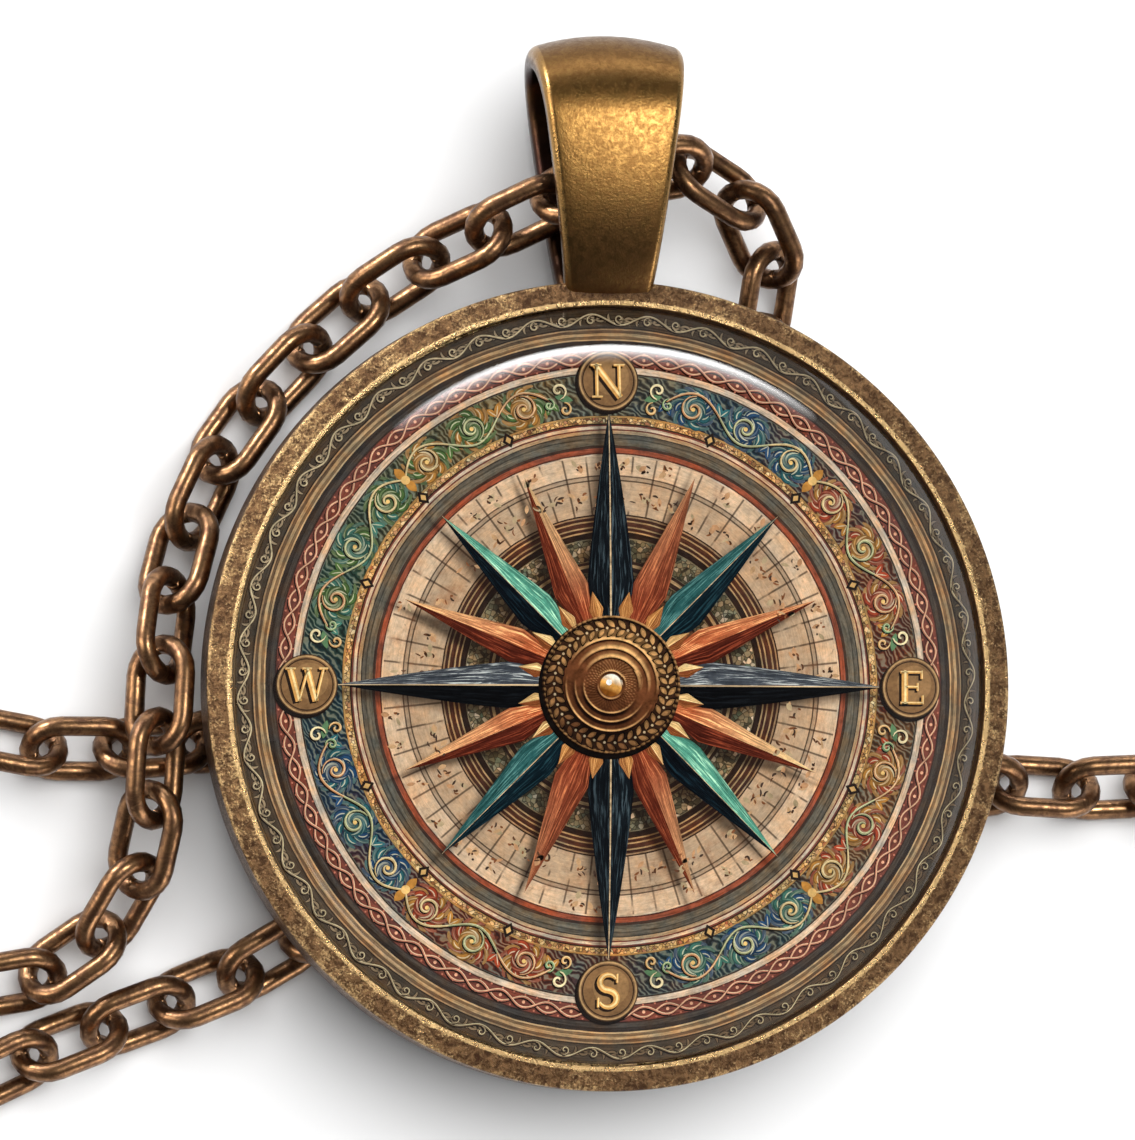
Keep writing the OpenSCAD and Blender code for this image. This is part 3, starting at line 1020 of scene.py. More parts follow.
class Drawing:
    """Flat shapes of the print, in millimetres as seen through the dome."""

    def __init__(self):
        self.points, self.faces, self.inks, self.strokes, self.grains = [], [], [], [], []

    def add(self, points, inks, layer, grains=None, strokes=None):
        self.points += [(x, y, layer) for x, y in points]
        self.inks += inks
        self.strokes += strokes or inks
        self.grains += grains or [(x * 0.3, y * 0.3, 0.0) for x, y in points]
        return len(self.points) - len(points)

    def sheet(self, points, rows, columns, inks, layer, turned_over=False, grains=None,
              strokes=None):
        """A grid of points that run along the columns of each row in turn."""
        first = self.add(points, inks, layer, grains, strokes)
        for row in sheet_faces(rows, columns, close_columns=False):
            face = tuple(first + i for i in row)
            self.faces.append(face[::-1] if turned_over else face)

    def shape(self, outline, shade, layer):
        """One flat shape; its outline runs counter-clockwise."""
        first = self.add(outline, [shade] * len(outline), layer)
        self.faces.append(tuple(range(first, first + len(outline))))

    def stroke(self, line, width, shade, layer, thin=0.2):
        """A brush stroke along a line, drawn thin at both ends; its shade may be a pair, for
        its start and its end."""
        first_shade, last_shade = shade if isinstance(shade[0], tuple) else (shade, shade)
        points, shades = [], []
        last = len(line) - 1
        for i, (x, y) in enumerate(line):
            before, after = line[max(0, i - 1)], line[min(last, i + 1)]
            way = Vector((after[0] - before[0], after[1] - before[1])).normalized()
            share = i / last
            half = width / 2 * (thin + (1 - thin) * sin(pi * share) ** 0.6)
            points += [(x - way.y * half, y + way.x * half), (x + way.y * half, y - way.x * half)]
            shades += [blend(first_shade, last_shade, share)] * 2
        self.sheet(points, last + 1, 2, shades, layer)

    def relief(self, line, width, shade, layer, thin=0.2):
        """A stroke with its painted shadow below it and a light on its upper right."""
        light = blend(shade, ink(250, 232, 186), 0.55)
        self.stroke(moved(line, -0.03, -0.035), width * 1.25, ink(22, 16, 12), layer, thin)
        self.stroke(line, width, shade, layer + 0.4, thin)
        self.stroke(moved(line, width * 0.16, width * 0.2), width * 0.3, light, layer + 0.8, thin)

    def finish(self, name, material):
        piece = new_piece(name, [on_print(*point) for point in self.points], self.faces,
                          (material,), 180)
        set_attribute(piece, "ink", self.inks, "FLOAT_COLOR", "color")
        set_attribute(piece, "stroke_ink", self.strokes, "FLOAT_COLOR", "color")
        set_attribute(piece, "grain", self.grains, "FLOAT_VECTOR", "vector")
        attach(piece, "root")


def moved(line, across, up):
    return [(x + across, y + up) for x, y in line]


def ink_material(name, length, width, contrast):
    """Ink whose colour is painted on the mesh, with strokes along its own grain."""
    material, tree, shader = new_material(name, **MATT)
    along, across = parts_of(tree, mesh_value(tree, "grain", "Vector"))
    streaks = use_group(tree, brush_streaks, Along=along, Across=across, Length=length,
                        Width=width)["Streaks"]
    streak = Value(tree, streaks)
    fleck = noise_value(tree, object_mm(tree, centre), 8.0, 3.0, 0.7) - 0.5
    painted = mix_colours(tree, streak.step(0.55, 1.0), mesh_value(tree, "ink", "Color"),
                          mesh_value(tree, "stroke_ink", "Color"))
    value = (streak - 0.5) * contrast + fleck * 0.8 + 0.95
    fill(tree, shader, {"Base Color": shaded(tree, painted, value)})
    return material


def make_star():
    drawing = Drawing()
    for layer, name in enumerate(POINTS, 1):
        draw_family(drawing, name, layer)
    drawing.finish("dial_star", star_ink)


# Ornament rings of the print, drawn flat along a ring and then bent round it
def bent(line, radius, start=0.0):
    """Bends a line of steps along and out, from a start along a ring of a radius."""
    return [((radius + out) * cos((along + start) / radius),
             (radius + out) * sin((along + start) / radius)) for along, out in line]


def scroll(x, y, start, turns, radius, hand, steps=26):
    """A scroll that winds in from a start angle to its eye; hand is 1 or -1."""
    line = []
    for share in shares(steps):
        angle = start + hand * TURN * turns * share
        reach = radius * (1 - 0.85 * share ** 0.85)
        line.append((x + reach * cos(angle), y + reach * sin(angle)))
    return line


def leaf(x, y, way, length, width):
    """Outline of a pointed leaf that grows from a place in a way, counter-clockwise."""
    outline, steps = [], 6
    for side in (-1, 1):
        for i in range(steps):
            share = i / steps if side < 0 else 1 - i / steps
            along = length * share
            out = side * width / 2 * sin(pi * share) ** 0.8
            outline.append((x + along * cos(way) - out * sin(way),
                            y + along * sin(way) + out * cos(way)))
    return outline


def disc(x, y, radius, count=20):
    return [(x + radius * cos(TURN * i / count), y + radius * sin(TURN * i / count))
            for i in range(count)]


def flame(x, y, way, length, bend, steps=8):
    """A line that leaves a place one way and bends off to one side."""
    line = [(x, y)]
    for _ in range(steps):
        way += bend / steps
        x += length / steps * cos(way)
        y += length / steps * sin(way)
        line.append((x, y))
    return line


def held(line, low, high):
    """A line kept between two distances from its ring."""
    return [(x, max(low, min(high, y))) for x, y in line]


SCROLL_R = 9.58
SCROLL_STEP = 1.86
SCROLL_LOW, SCROLL_HIGH = -0.62, 0.64
VINE = [ink(182, 156, 108), ink(140, 144, 104), ink(178, 126, 84)]
PAINT_DARK = ink(18, 22, 24)
PAINT_LIGHT = ink(216, 212, 178)


def make_scroll_ring():
    """A running scroll of vines with curled leaves, mirrored about each diagonal."""
    drawing = Drawing()
    for quarter in range(4):
        middle = (pi / 4 + quarter * pi / 2) * SCROLL_R
        for side in (-1, 1):
            tints = CLUSTERS[quarter * 2 + (side > 0)][:2]
            for k in range(3):
                draw_scroll(drawing, middle, side * SCROLL_STEP * (k + 0.5),
                            1 if k % 2 == 0 else -1, side, tints[k % 2], tints[1 - k % 2], VINE[k])
        for way in (-1, 1):
            drawing.shape(bent(leaf(0, 0, pi / 2 * way, 0.52, 0.3), SCROLL_R, middle), GOLD, 6)
        drawing.shape(bent(disc(0, 0, 0.15), SCROLL_R, middle), ink(216, 176, 108), 7)
    drawing.finish("dial_scroll_ring", fine_ink)


def draw_scroll(drawing, middle, along, up, side, tint, tint_b, vine):
    """One scroll of the vine: its curled leaves, the curl itself and the stem past it."""
    def place(line):
        return bent(line, SCROLL_R, middle)

    def lick(angle, reach, lean, length, bend):
        """A line that curls away from the eye."""
        return flame(along + reach * cos(angle), eye_y + reach * sin(angle),
                     angle + hand * lean, length, hand * bend)

    hand = -side * up
    eye_y = -up * 0.04
    dark = blend(tint, PAINT_DARK, 0.55)
    for turn in range(16):
        line = held(lick(TURN * (turn + 0.5) / 16, 0.4, 0.5, 0.62 + 0.08 * (turn % 2), 1.5),
                    SCROLL_LOW, SCROLL_HIGH)
        shade = blend(tint if turn % 2 else tint_b, PAINT_DARK, 0.4)
        drawing.stroke(place(line), 0.13, (shade, blend(shade, PAINT_LIGHT, 0.08)), 2, 0.4)
        drawing.stroke(place(moved(line, 0.02, 0.02)), 0.035,
                       (blend(shade, PAINT_LIGHT, 0.4), shade), 2.4, 0.3)
    for turn in range(7):
        line = lick(TURN * (turn + 0.3) / 7, 0.36, 0.3, 0.5 if turn % 2 else 0.4, 1.7)
        shade = tint if turn % 3 else tint_b
        drawing.stroke(place(line), 0.24, blend(shade, PAINT_DARK, 0.6), 3, 0.5)
        drawing.stroke(place(line), 0.15, blend(shade, PAINT_DARK, 0.15), 3.5, 0.4)
        drawing.stroke(place(moved(line, 0.02, 0.03)), 0.04, blend(shade, PAINT_LIGHT, 0.6), 4)
    drawing.shape(place(disc(along, eye_y, 0.45)), dark, 4.2)
    for turn in range(8):
        hair = scroll(along, eye_y, 0.8 * turn, 0.5, 0.44 - 0.02 * (turn % 3), hand, 12)
        drawing.stroke(place(hair), 0.07, (blend(tint, PAINT_LIGHT, 0.1 + 0.3 * (turn % 3)), dark),
                       4.4 + 0.05 * turn, 0.15)
    curl = scroll(along, eye_y, up * pi / 2, 1.35, 0.46, hand)
    stem = [(along + SCROLL_STEP * (i / 12 - 0.5) * side, up * 0.5 * cos(pi * (i / 12 - 0.5)))
            for i in range(13)]
    drawing.relief(place(curl), 0.085, vine, 5)
    drawing.relief(place(stem), 0.075, vine, 5, 0.7)
    drawing.shape(place(disc(along, eye_y, 0.07, 12)), ink(220, 182, 110), 7)
    tip = along + SCROLL_STEP * 0.5 * side
    for lean, size in ((0.5, 0.46), (-0.55, 0.4)):
        way = -up * pi / 2 - side * lean
        vein = flame(tip, -up * 0.05, way, size * 0.8, 0.0)
        drawing.shape(place(leaf(tip, -up * 0.05, way, size, 0.2)), tint_b, 5)
        drawing.stroke(place(vein), 0.035, blend(tint_b, PAINT_LIGHT, 0.6), 6)


GUILLOCHE_R = 10.82
GUILLOCHE_EYES = 84


def make_guilloche_ring():
    """Two interlaced strands with a dot in each eye, in pale red on dark red."""
    drawing = Drawing()
    eye = TURN * GUILLOCHE_R / GUILLOCHE_EYES
    for number in range(GUILLOCHE_EYES):
        for strand in (-1, 1):
            up = strand if number % 2 else -strand
            line = [(eye * (number + share), up * 0.17 * sin(pi * share)) for share in shares(8)]
            drawing.relief(bent(line, GUILLOCHE_R), 0.075, ink(172, 108, 86), 3 + strand, 0.8)
        drawing.shape(bent(disc(eye * (number + 0.5), 0, 0.055, 10), GUILLOCHE_R),
                      ink(214, 158, 124), 5)
    for edge in (-0.24, 0.2):
        for number in range(GUILLOCHE_EYES * 2):
            drawing.shape(bent(disc(eye * number / 2, edge, 0.035, 8), GUILLOCHE_R),
                          ink(172, 104, 82), 4)
    drawing.finish("dial_guilloche_ring", fine_ink)


LEAF_R = 12.13
LEAF_WAVES = 40
LEAF_HALF = 0.25
FRONDS = [
    # share along half a wave, lean and bend away from the stem, length
    (0.02, 0.9, -1.7, 0.4), (0.14, 0.5, -1.2, 0.46), (0.26, 0.2, 1.3, 0.3),
    (0.5, 1.2, -1.6, 0.36), (0.62, 0.8, -1.1, 0.44), (0.8, 0.4, 1.5, 0.34),
]


def make_leaf_ring():
    """A fine vine of curled leaves in dull bronze on the dark outer ring."""
    drawing = Drawing()
    wave = TURN * LEAF_R / LEAF_WAVES
    for number in range(LEAF_WAVES * 2):
        up = -1 if number % 2 else 1
        along = wave * (number / 2)
        lit = 0.5 + 0.5 * cos(along / LEAF_R - radians(125))
        light = blend(ink(104, 84, 60), ink(162, 142, 112), lit)
        for share, lean, bend, size in FRONDS:
            frond = flame(along + wave * share / 2, up * 0.17 * sin(pi * share), -up * lean,
                          size, -up * bend)
            frond = bent(held(frond, -LEAF_HALF, LEAF_HALF), LEAF_R)
            drawing.stroke(frond, 0.13, ink(30, 24, 19), 2, 0.5)
            drawing.stroke(frond, 0.075, blend(light, DARK_LINE, 0.15), 2.4, 0.3)
        stem = [(along + wave / 2 * share, up * 0.18 * sin(pi * share)) for share in shares(8)]
        curl = scroll(along + wave * 0.27, -up * 0.03, up * pi * 0.6, 1.1, 0.17, -up, 14)
        drawing.relief(bent(stem, LEAF_R), 0.065, light, 3, 0.8)
        drawing.relief(bent(curl, LEAF_R), 0.055, light, 4)
    drawing.finish("dial_leaf_ring", fine_ink)


MARK_ROWS = [
    # radius of the row, reach of a mark, share of the cells left empty
    (6.2, 0.16, 0.12),
    (7.22, 0.12, 0.4),
]


def make_marks():
    """Small painted marks: a different little ornament in each cell of the parchment rows, and
    dark diamonds on the gold band."""
    drawing = Drawing()
    chance = random.Random(5)
    browns = (ink(84, 54, 38), ink(120, 72, 44), ink(66, 50, 42))
    blots = (ink(184, 146, 106), ink(176, 132, 94), ink(166, 146, 112))
    for radius, size, empty in MARK_ROWS:
        for cell in range(CELLS):
            if chance.random() < empty:
                continue
            along = TURN * radius * (cell + 0.5 + chance.uniform(-0.14, 0.14)) / CELLS
            out = chance.uniform(-0.14, 0.14)
            for number in range(2):
                spot = leaf(along + chance.uniform(-0.15, 0.15), out + chance.uniform(-0.15, 0.15),
                            chance.uniform(0, TURN), 0.3, chance.uniform(0.08, 0.2))
                drawing.shape(bent(spot, radius), chance.choice(blots), 1 + 0.1 * number)
            for number in range(chance.randrange(3, 6)):
                x, y = (chance.uniform(-size, size) * 1.2 for _ in range(2))
                line = flame(along + x, out + y, chance.uniform(0, TURN),
                             chance.uniform(0.6, 1.6) * size, chance.uniform(-2.5, 2.5), 5)
                drawing.stroke(bent(line, radius), chance.uniform(0.045, 0.085),
                               chance.choice(browns), 1.6, 0.25)
    for number in range(16):
        if number % 4:
            for size, shade, layer in ((0.27, ink(34, 26, 22), 5), (0.13, ink(196, 156, 96), 6)):
                diamond = [(size * 0.75, 0), (0, size), (-size * 0.75, 0), (0, -size)]
                drawing.shape(bent(diamond, GOLD_BAND_R, TURN * number / 16 * GOLD_BAND_R),
                              shade, layer)
    drawing.finish("dial_marks", fine_ink)


# The four letters, as pen strokes in heights of a letter: the points and the pen's width
LETTERS = {
    "N": [([(-0.34, -0.5), (-0.34, 0.5)], 0.1), ([(0.34, -0.5), (0.34, 0.5)], 0.1),
          ([(-0.38, 0.5), (0.36, -0.5)], 0.2), ([(-0.52, 0.48), (-0.2, 0.48)], 0.07),
          ([(-0.5, -0.48), (-0.18, -0.48)], 0.07), ([(0.18, 0.48), (0.5, 0.48)], 0.07)],
    "E": [([(-0.2, -0.5), (-0.2, 0.5)], 0.2), ([(-0.34, 0.46), (0.34, 0.46)], 0.08),
          ([(-0.34, -0.46), (0.36, -0.46)], 0.08), ([(-0.2, 0.02), (0.2, 0.02)], 0.08),
          ([(0.33, 0.5), (0.33, 0.26)], 0.08), ([(0.36, -0.5), (0.36, -0.24)], 0.08),
          ([(0.2, 0.13), (0.2, -0.1)], 0.07)],
    "W": [([(-0.5, 0.5), (-0.24, -0.5)], 0.19), ([(-0.24, -0.5), (0.02, 0.42)], 0.08),
          ([(0.0, 0.5), (0.26, -0.5)], 0.19), ([(0.26, -0.5), (0.5, 0.5)], 0.08),
          ([(-0.64, 0.48), (-0.34, 0.48)], 0.07), ([(-0.14, 0.48), (0.14, 0.48)], 0.07),
          ([(0.36, 0.48), (0.62, 0.48)], 0.07)],
    "S": [([(0.27, 0.5), (0.27, 0.24)], 0.07), ([(-0.29, -0.5), (-0.29, -0.22)], 0.07)],
}
LETTER_H = 1.1
LETTER_PENS = [
    # layer, shift, pen's width against the letter's own, ink
    (10.6, -0.06, 1.3, ink(34, 22, 14)),
    (11.2, 0.0, 1.0, ink(212, 156, 84)),
    (11.8, 0.016, 0.35, ink(244, 212, 150)),
]
ROUNDEL_R = 10.07
ROUNDEL_DISCS = [(1.01, ink(66, 47, 31)), (0.97, ink(170, 136, 92)), (0.91, ink(112, 82, 54)),
                 (0.87, ink(50, 35, 24)), (0.83, ink(124, 92, 59))]
SIDE_SCROLLS = [
    # place along the ring from the roundel's middle and out of the ring, radius, ink
    (1.62, 0.3, 0.3, ink(214, 196, 152)),
    (1.5, -0.36, 0.24, ink(196, 150, 92)),
    (2.02, -0.12, 0.22, ink(108, 138, 96)),
]


def make_roundels():
    """A bronze roundel with a gold letter at each main point, between two small scrolls."""
    drawing = Drawing()
    for number, letter in enumerate("ENWS"):
        turn = radians(90.0 * number)
        x, y = ROUNDEL_R * cos(turn), ROUNDEL_R * sin(turn)
        draw_side_scrolls(drawing, turn)
        drawing.shape(disc(x - 0.07, y - 0.09, 1.04, 40), ink(24, 17, 13), 8)
        for radius, shade in ROUNDEL_DISCS:
            drawing.shape(disc(x, y, radius, 40), shade, 9 + (1.1 - radius) * 4)
        drawing.shape(disc(x + 0.1, y + 0.12, 0.6, 32), ink(142, 108, 70), 10.2)
        strokes = [(stretched(line), width, 1.0) for line, width in LETTERS[letter]]
        if letter == "S":
            strokes.append((letter_s(), 0.2, 0.3))
        for layer, offset, wider, shade in LETTER_PENS:
            for line, width, thin in strokes:
                placed = [(x + offset + px * LETTER_H, y + offset + py * LETTER_H)
                          for px, py in line]
                drawing.stroke(placed, width * wider * LETTER_H, shade, layer, thin)
    drawing.finish("dial_roundels", fine_ink)


def stretched(line):
    """A straight stroke with points between its ends."""
    (x0, y0), (x1, y1) = line
    return [(x0 + (x1 - x0) * i / 4, y0 + (y1 - y0) * i / 4) for i in range(5)]


def letter_s():
    """The body of the letter S, from its upper end to its lower end."""
    line = []
    for i in range(15):
        angle = radians(25 + 245 * i / 14)
        line.append((0.25 * cos(angle), 0.25 + 0.23 * sin(angle)))
    for i in range(1, 15):
        angle = radians(90 - 245 * i / 14)
        line.append((0.27 * cos(angle), -0.24 + 0.25 * sin(angle)))
    return line


def draw_side_scrolls(drawing, turn):
    """The small green and cream scrolls on both sides of a roundel."""
    middle = turn * SCROLL_R
    for side in (-1, 1):
        for along, out, radius, shade in SIDE_SCROLLS:
            way = 1 if out < 0 else -1
            line = scroll(side * along, out, pi / 2 * way, 1.2, radius, side * way, 18)
            drawing.relief(bent(line, SCROLL_R, middle), 0.085, shade, 6)
        frond = leaf(side * 1.2, -0.1, pi / 2 - side * 1.2, 0.62, 0.24)
        drawing.shape(bent(frond, SCROLL_R, middle), ink(86, 120, 84), 5)


# The boss in the middle: painted relief, lit from the upper right
BOSS_R = 2.3
BEAD_R = 0.36
ORNATE_LOW, ORNATE_HIGH = 1.62, 2.17
BOSS_RIDGES = ((0.46, 0.05), (0.93, 0.07), (1.22, 0.08), (1.52, 0.1))
BOSS_STEPS = (0.99, 1.28, 1.58)
DOME_EDGE_R = 1.85
RIM_R = 2.24
STIPPLE_LOW, STIPPLE_HIGH = 0.5, 0.9
BOSS_LIGHT = radians(70)
BOSS_INKS = {
    "body": (ink(20, 9, 5), ink(100, 58, 33), ink(232, 180, 116)),
    "bead": (ink(110, 62, 20), ink(220, 160, 78), ink(255, 250, 226)),
    "ornate": (ink(12, 7, 5), ink(50, 31, 20), ink(176, 130, 80)),
}


def boss_height(radius, angle):
    """Height of the boss that the print imitates, in mm."""
    bead = sqrt(max(0.0, BEAD_R ** 2 - radius ** 2))
    ridges = sum(high * exp(-((radius - ring) / 0.035) ** 2)
                 for ring, high in BOSS_RIDGES)
    steps = sum(-0.08 / (1 + exp(-(radius - ring) / 0.02)) for ring in BOSS_STEPS)
    dome = 0.32 * cos(min(radius, DOME_EDGE_R) / DOME_EDGE_R * pi / 2)
    stipple = 0.0
    if STIPPLE_LOW < radius < STIPPLE_HIGH:
        stipple = 0.006 * cos(44 * angle) * cos((radius - STIPPLE_LOW) / 0.1 * pi)
    rim = 0.1 * exp(-((radius - RIM_R) / 0.05) ** 2)
    if radius > ORNATE_HIGH:
        rim += 0.035 * cos(76 * angle)
    return bead + ridges + steps + dome + stipple + rim


def boss_ink(radius, angle):
    """Ink of the painted relief at a place, by how its slope faces the light."""
    step, turn_step = 0.012, 0.01
    slope = (boss_height(radius + step, angle) - boss_height(radius - step, angle)) / (2 * step)
    turn = boss_height(radius, angle + turn_step) - boss_height(radius, angle - turn_step)
    turn = turn / (2 * turn_step) / max(radius, 0.2)
    light, cross = cos(angle - BOSS_LIGHT), -sin(angle - BOSS_LIGHT)
    lit = 0.4 - 0.66 * (slope * light + turn * cross) / sqrt(1 + slope ** 2 + turn ** 2)
    low, middle, high = BOSS_INKS["body"]
    if radius < BEAD_R:
        low, middle, high = BOSS_INKS["bead"]
    elif radius > ORNATE_LOW:
        low, middle, high = BOSS_INKS["ornate"]
        lit = lit + 0.12 * light - 0.04
    return blend(low, middle, lit * 2) if lit < 0.5 else blend(middle, high, lit * 2 - 1)


def draw_wreath(drawing, count, ring):
    """Two rows of small leaves round the boss's outer ring, lit from the upper right."""
    for number in range(count):
        middle = TURN * ring * (number + 0.5) / count
        lit = 0.5 + 0.4 * cos(middle / ring - radians(60)) + 0.1 * sin(number * 5)
        gold = blend(ink(88, 54, 32), ink(194, 146, 90), lit)
        for row in (-1, 1):
            for size, shade, layer in ((1.2, ink(16, 10, 7), 9),
                                       (1.0, blend(gold, ink(40, 24, 14), 0.5), 9.4),
                                       (0.75, gold, 9.8)):
                outline = leaf(-0.12, row * 0.03, row * 0.75, 0.34 * size, 0.17 * size)
                drawing.shape(bent(outline, ring, middle), shade, layer)
        drawing.shape(bent(disc(0.13, 0, 0.045, 8), ring, middle),
                      blend(gold, PAINT_LIGHT, 0.3), 10)


def make_boss():
    rings, spokes, middle_r = 96, 228, 0.004
    drawing = Drawing()
    points, inks = [], []
    for ring in range(rings + 1):
        radius = max(middle_r, BOSS_R * ring / rings)
        for spoke in range(spokes + 1):
            angle = TURN * spoke / spokes
            points.append((radius * cos(angle), radius * sin(angle)))
            inks.append(boss_ink(radius, angle))
    drawing.shape(disc(-0.07, -0.09, BOSS_R + 0.05, 64), ink(14, 10, 8), 7)
    drawing.sheet(points, rings + 1, spokes + 1, inks, 8, True)
    draw_wreath(drawing, 34, (ORNATE_LOW + ORNATE_HIGH) / 2)
    drawing.shape(disc(-0.07, 0.1, 0.1, 12), ink(255, 252, 236), 10)
    drawing.finish("dial_boss", ink_material("boss_ink", 0.12, 0.12, 0.7))


dial = frame["nodes"]["dial"]
dial.data.materials.clear()
dial.data.materials.append(print_material())
star_ink = ink_material("star_ink", 1.2, 0.075, 1.1)
fine_ink = ink_material("fine_ink", 0.2, 0.2, 0.45)
make_star()
make_boss()
make_scroll_ring()
make_guilloche_ring()
make_leaf_ring()
make_marks()
make_roundels()


# The chain: the route of the part's source, in metres
CHAIN_H = 2 * (LINK_W - WIRE_D) / 2 * sin(LINK_ROLL) + WIRE_D
CHAIN_Z = CHAIN_H / 2
CROSS_GAP = 0.25 * MM
BAIL_GAP = 0.27 * MM
PASS_Y = 15.6 * MM
over_chain = CHAIN_H + CROSS_GAP
bail_leg = BAIL_RISE - BAIL_FOLD_H + BAIL_SINK
bail_mid_y = tray_r + BAIL_RISE - BAIL_FOLD_H
bail_room = (BAIL_DEPTH / 2 - BAIL_T) * sqrt(
    1 - ((PASS_Y - bail_mid_y) / (bail_leg - BAIL_T)) ** 2)
in_bail = bail_mid_z - bail_room + BAIL_GAP
ring_low, ring_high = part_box("clasp_ring")
at_clasp = (ring_low.z + ring_high.z) / 2 - CHAIN_Z
ROUTE = [
    (0, 0.118, at_clasp), (-0.008, 0.118, at_clasp), (-0.017, 0.1152, 0),
    (-0.03, 0.109, 0), (-0.0425, 0.097, 0), (-0.05, 0.081, 0),
    (-0.0525, 0.062, 0), (-0.0505, 0.043, 0), (-0.045, 0.026, 0), (-0.037, 0.0115, 0),
    (-0.0275, 0.0015, 0), (-0.02, -0.0018, 0), (-0.015, -0.002, 0), (-0.01, -0.0012, 0),
    (-0.005, 0.001, 0), (-0.0006, 0.0044, 0), (0.0029, 0.0078, 0), (0.005, 0.0105, 0),
    (0.006, 0.013, 0.00012), (0.0056, 0.0152, 0.001), (0.0039, 0.017, 0.0016),
    (0.0016, 0.0174, in_bail), (-0.0006, 0.0167, in_bail), (-0.0026, PASS_Y, in_bail),
    (-0.005, 0.0146, 0.0012), (-0.0073, 0.0132, 0.0003), (-0.0098, 0.011, 0),
    (-0.0119, 0.0086, 0), (-0.0133, 0.0062, 0.0002), (-0.0142, 0.0036, 0.001),
    (-0.0147, 0.0009, over_chain * 0.85), (-0.0149, -0.002, over_chain),
    (-0.0151, -0.0048, over_chain * 0.85), (-0.0158, -0.0072, 0.001),
    (-0.0174, -0.0091, 0.00025), (-0.0202, -0.01, 0), (-0.025, -0.0094, 0),
    (-0.03, -0.0082, 0), (-0.035, -0.0086, 0), (-0.0386, -0.0118, 0),
    (-0.0382, -0.0166, 0), (-0.0336, -0.0192, 0), (-0.0264, -0.0164, 0),
    (-0.02, -0.0128, 0), (-0.0156, -0.011, 0), (-0.0122, -0.0097, 0),
    (-0.0085, -0.0076, 0), (-0.004, -0.0058, 0), (0.0015, -0.0044, 0),
    (0.008, -0.0034, 0), (0.014, -0.0031, 0), (0.0182, -0.0032, 0), (0.027, -0.0008, 0),
    (0.0365, 0.0065, 0), (0.045, 0.018, 0), (0.0505, 0.034, 0), (0.053, 0.053, 0),
    (0.0515, 0.073, 0), (0.045, 0.092, 0), (0.0325, 0.107, 0), (0.017, 0.1152, 0),
    (0.008, 0.118, at_clasp),
]
ROUTE_STEPS = 12


def route_curve():
    """Points along one smooth closed curve through the route's points."""
    points = [np.array(point, float) for point in ROUTE]
    count = len(points)
    made = []
    for i in range(count):
        before, start, end, after = (points[(i + k) % count] for k in (-1, 0, 1, 2))
        t1 = sqrt(np.linalg.norm(start - before))
        t2 = t1 + sqrt(np.linalg.norm(end - start))
        t3 = t2 + sqrt(np.linalg.norm(after - end))
        for k in range(ROUTE_STEPS):
            t = t1 + (t2 - t1) * k / ROUTE_STEPS
            a = before * (t1 - t) / t1 + start * t / t1
            b = start * (t2 - t) / (t2 - t1) + end * (t - t1) / (t2 - t1)
            c = end * (t3 - t) / (t3 - t2) + after * (t - t2) / (t3 - t2)
            ab = a * (t2 - t) / t2 + b * t / t2
            bc = b * (t3 - t) / (t3 - t1) + c * (t - t1) / (t3 - t1)
            made.append(ab * (t2 - t) / (t2 - t1) + bc * (t - t1) / (t2 - t1))
    made.append(made[0])
    return np.array(made)


def chain_joints():
    """The points where each link hands over to the next, from the clasp round to it."""
    curve = route_curve()
    run = np.concatenate([[0], np.cumsum(np.linalg.norm(np.diff(curve, axis=0), axis=1))])
    length = run[-1] - 2 * LEAD
    count = 2 * ceil(length / LINK_STEP / 2)
    joints = []
    for i in range(count + 1):
        place = [np.interp(LEAD + length * i / count, run, curve[:, k]) for k in range(3)]
        joints.append(Vector((place[0], place[1] + centre.y, CHAIN_Z + max(0.0, place[2]))))
    return joints


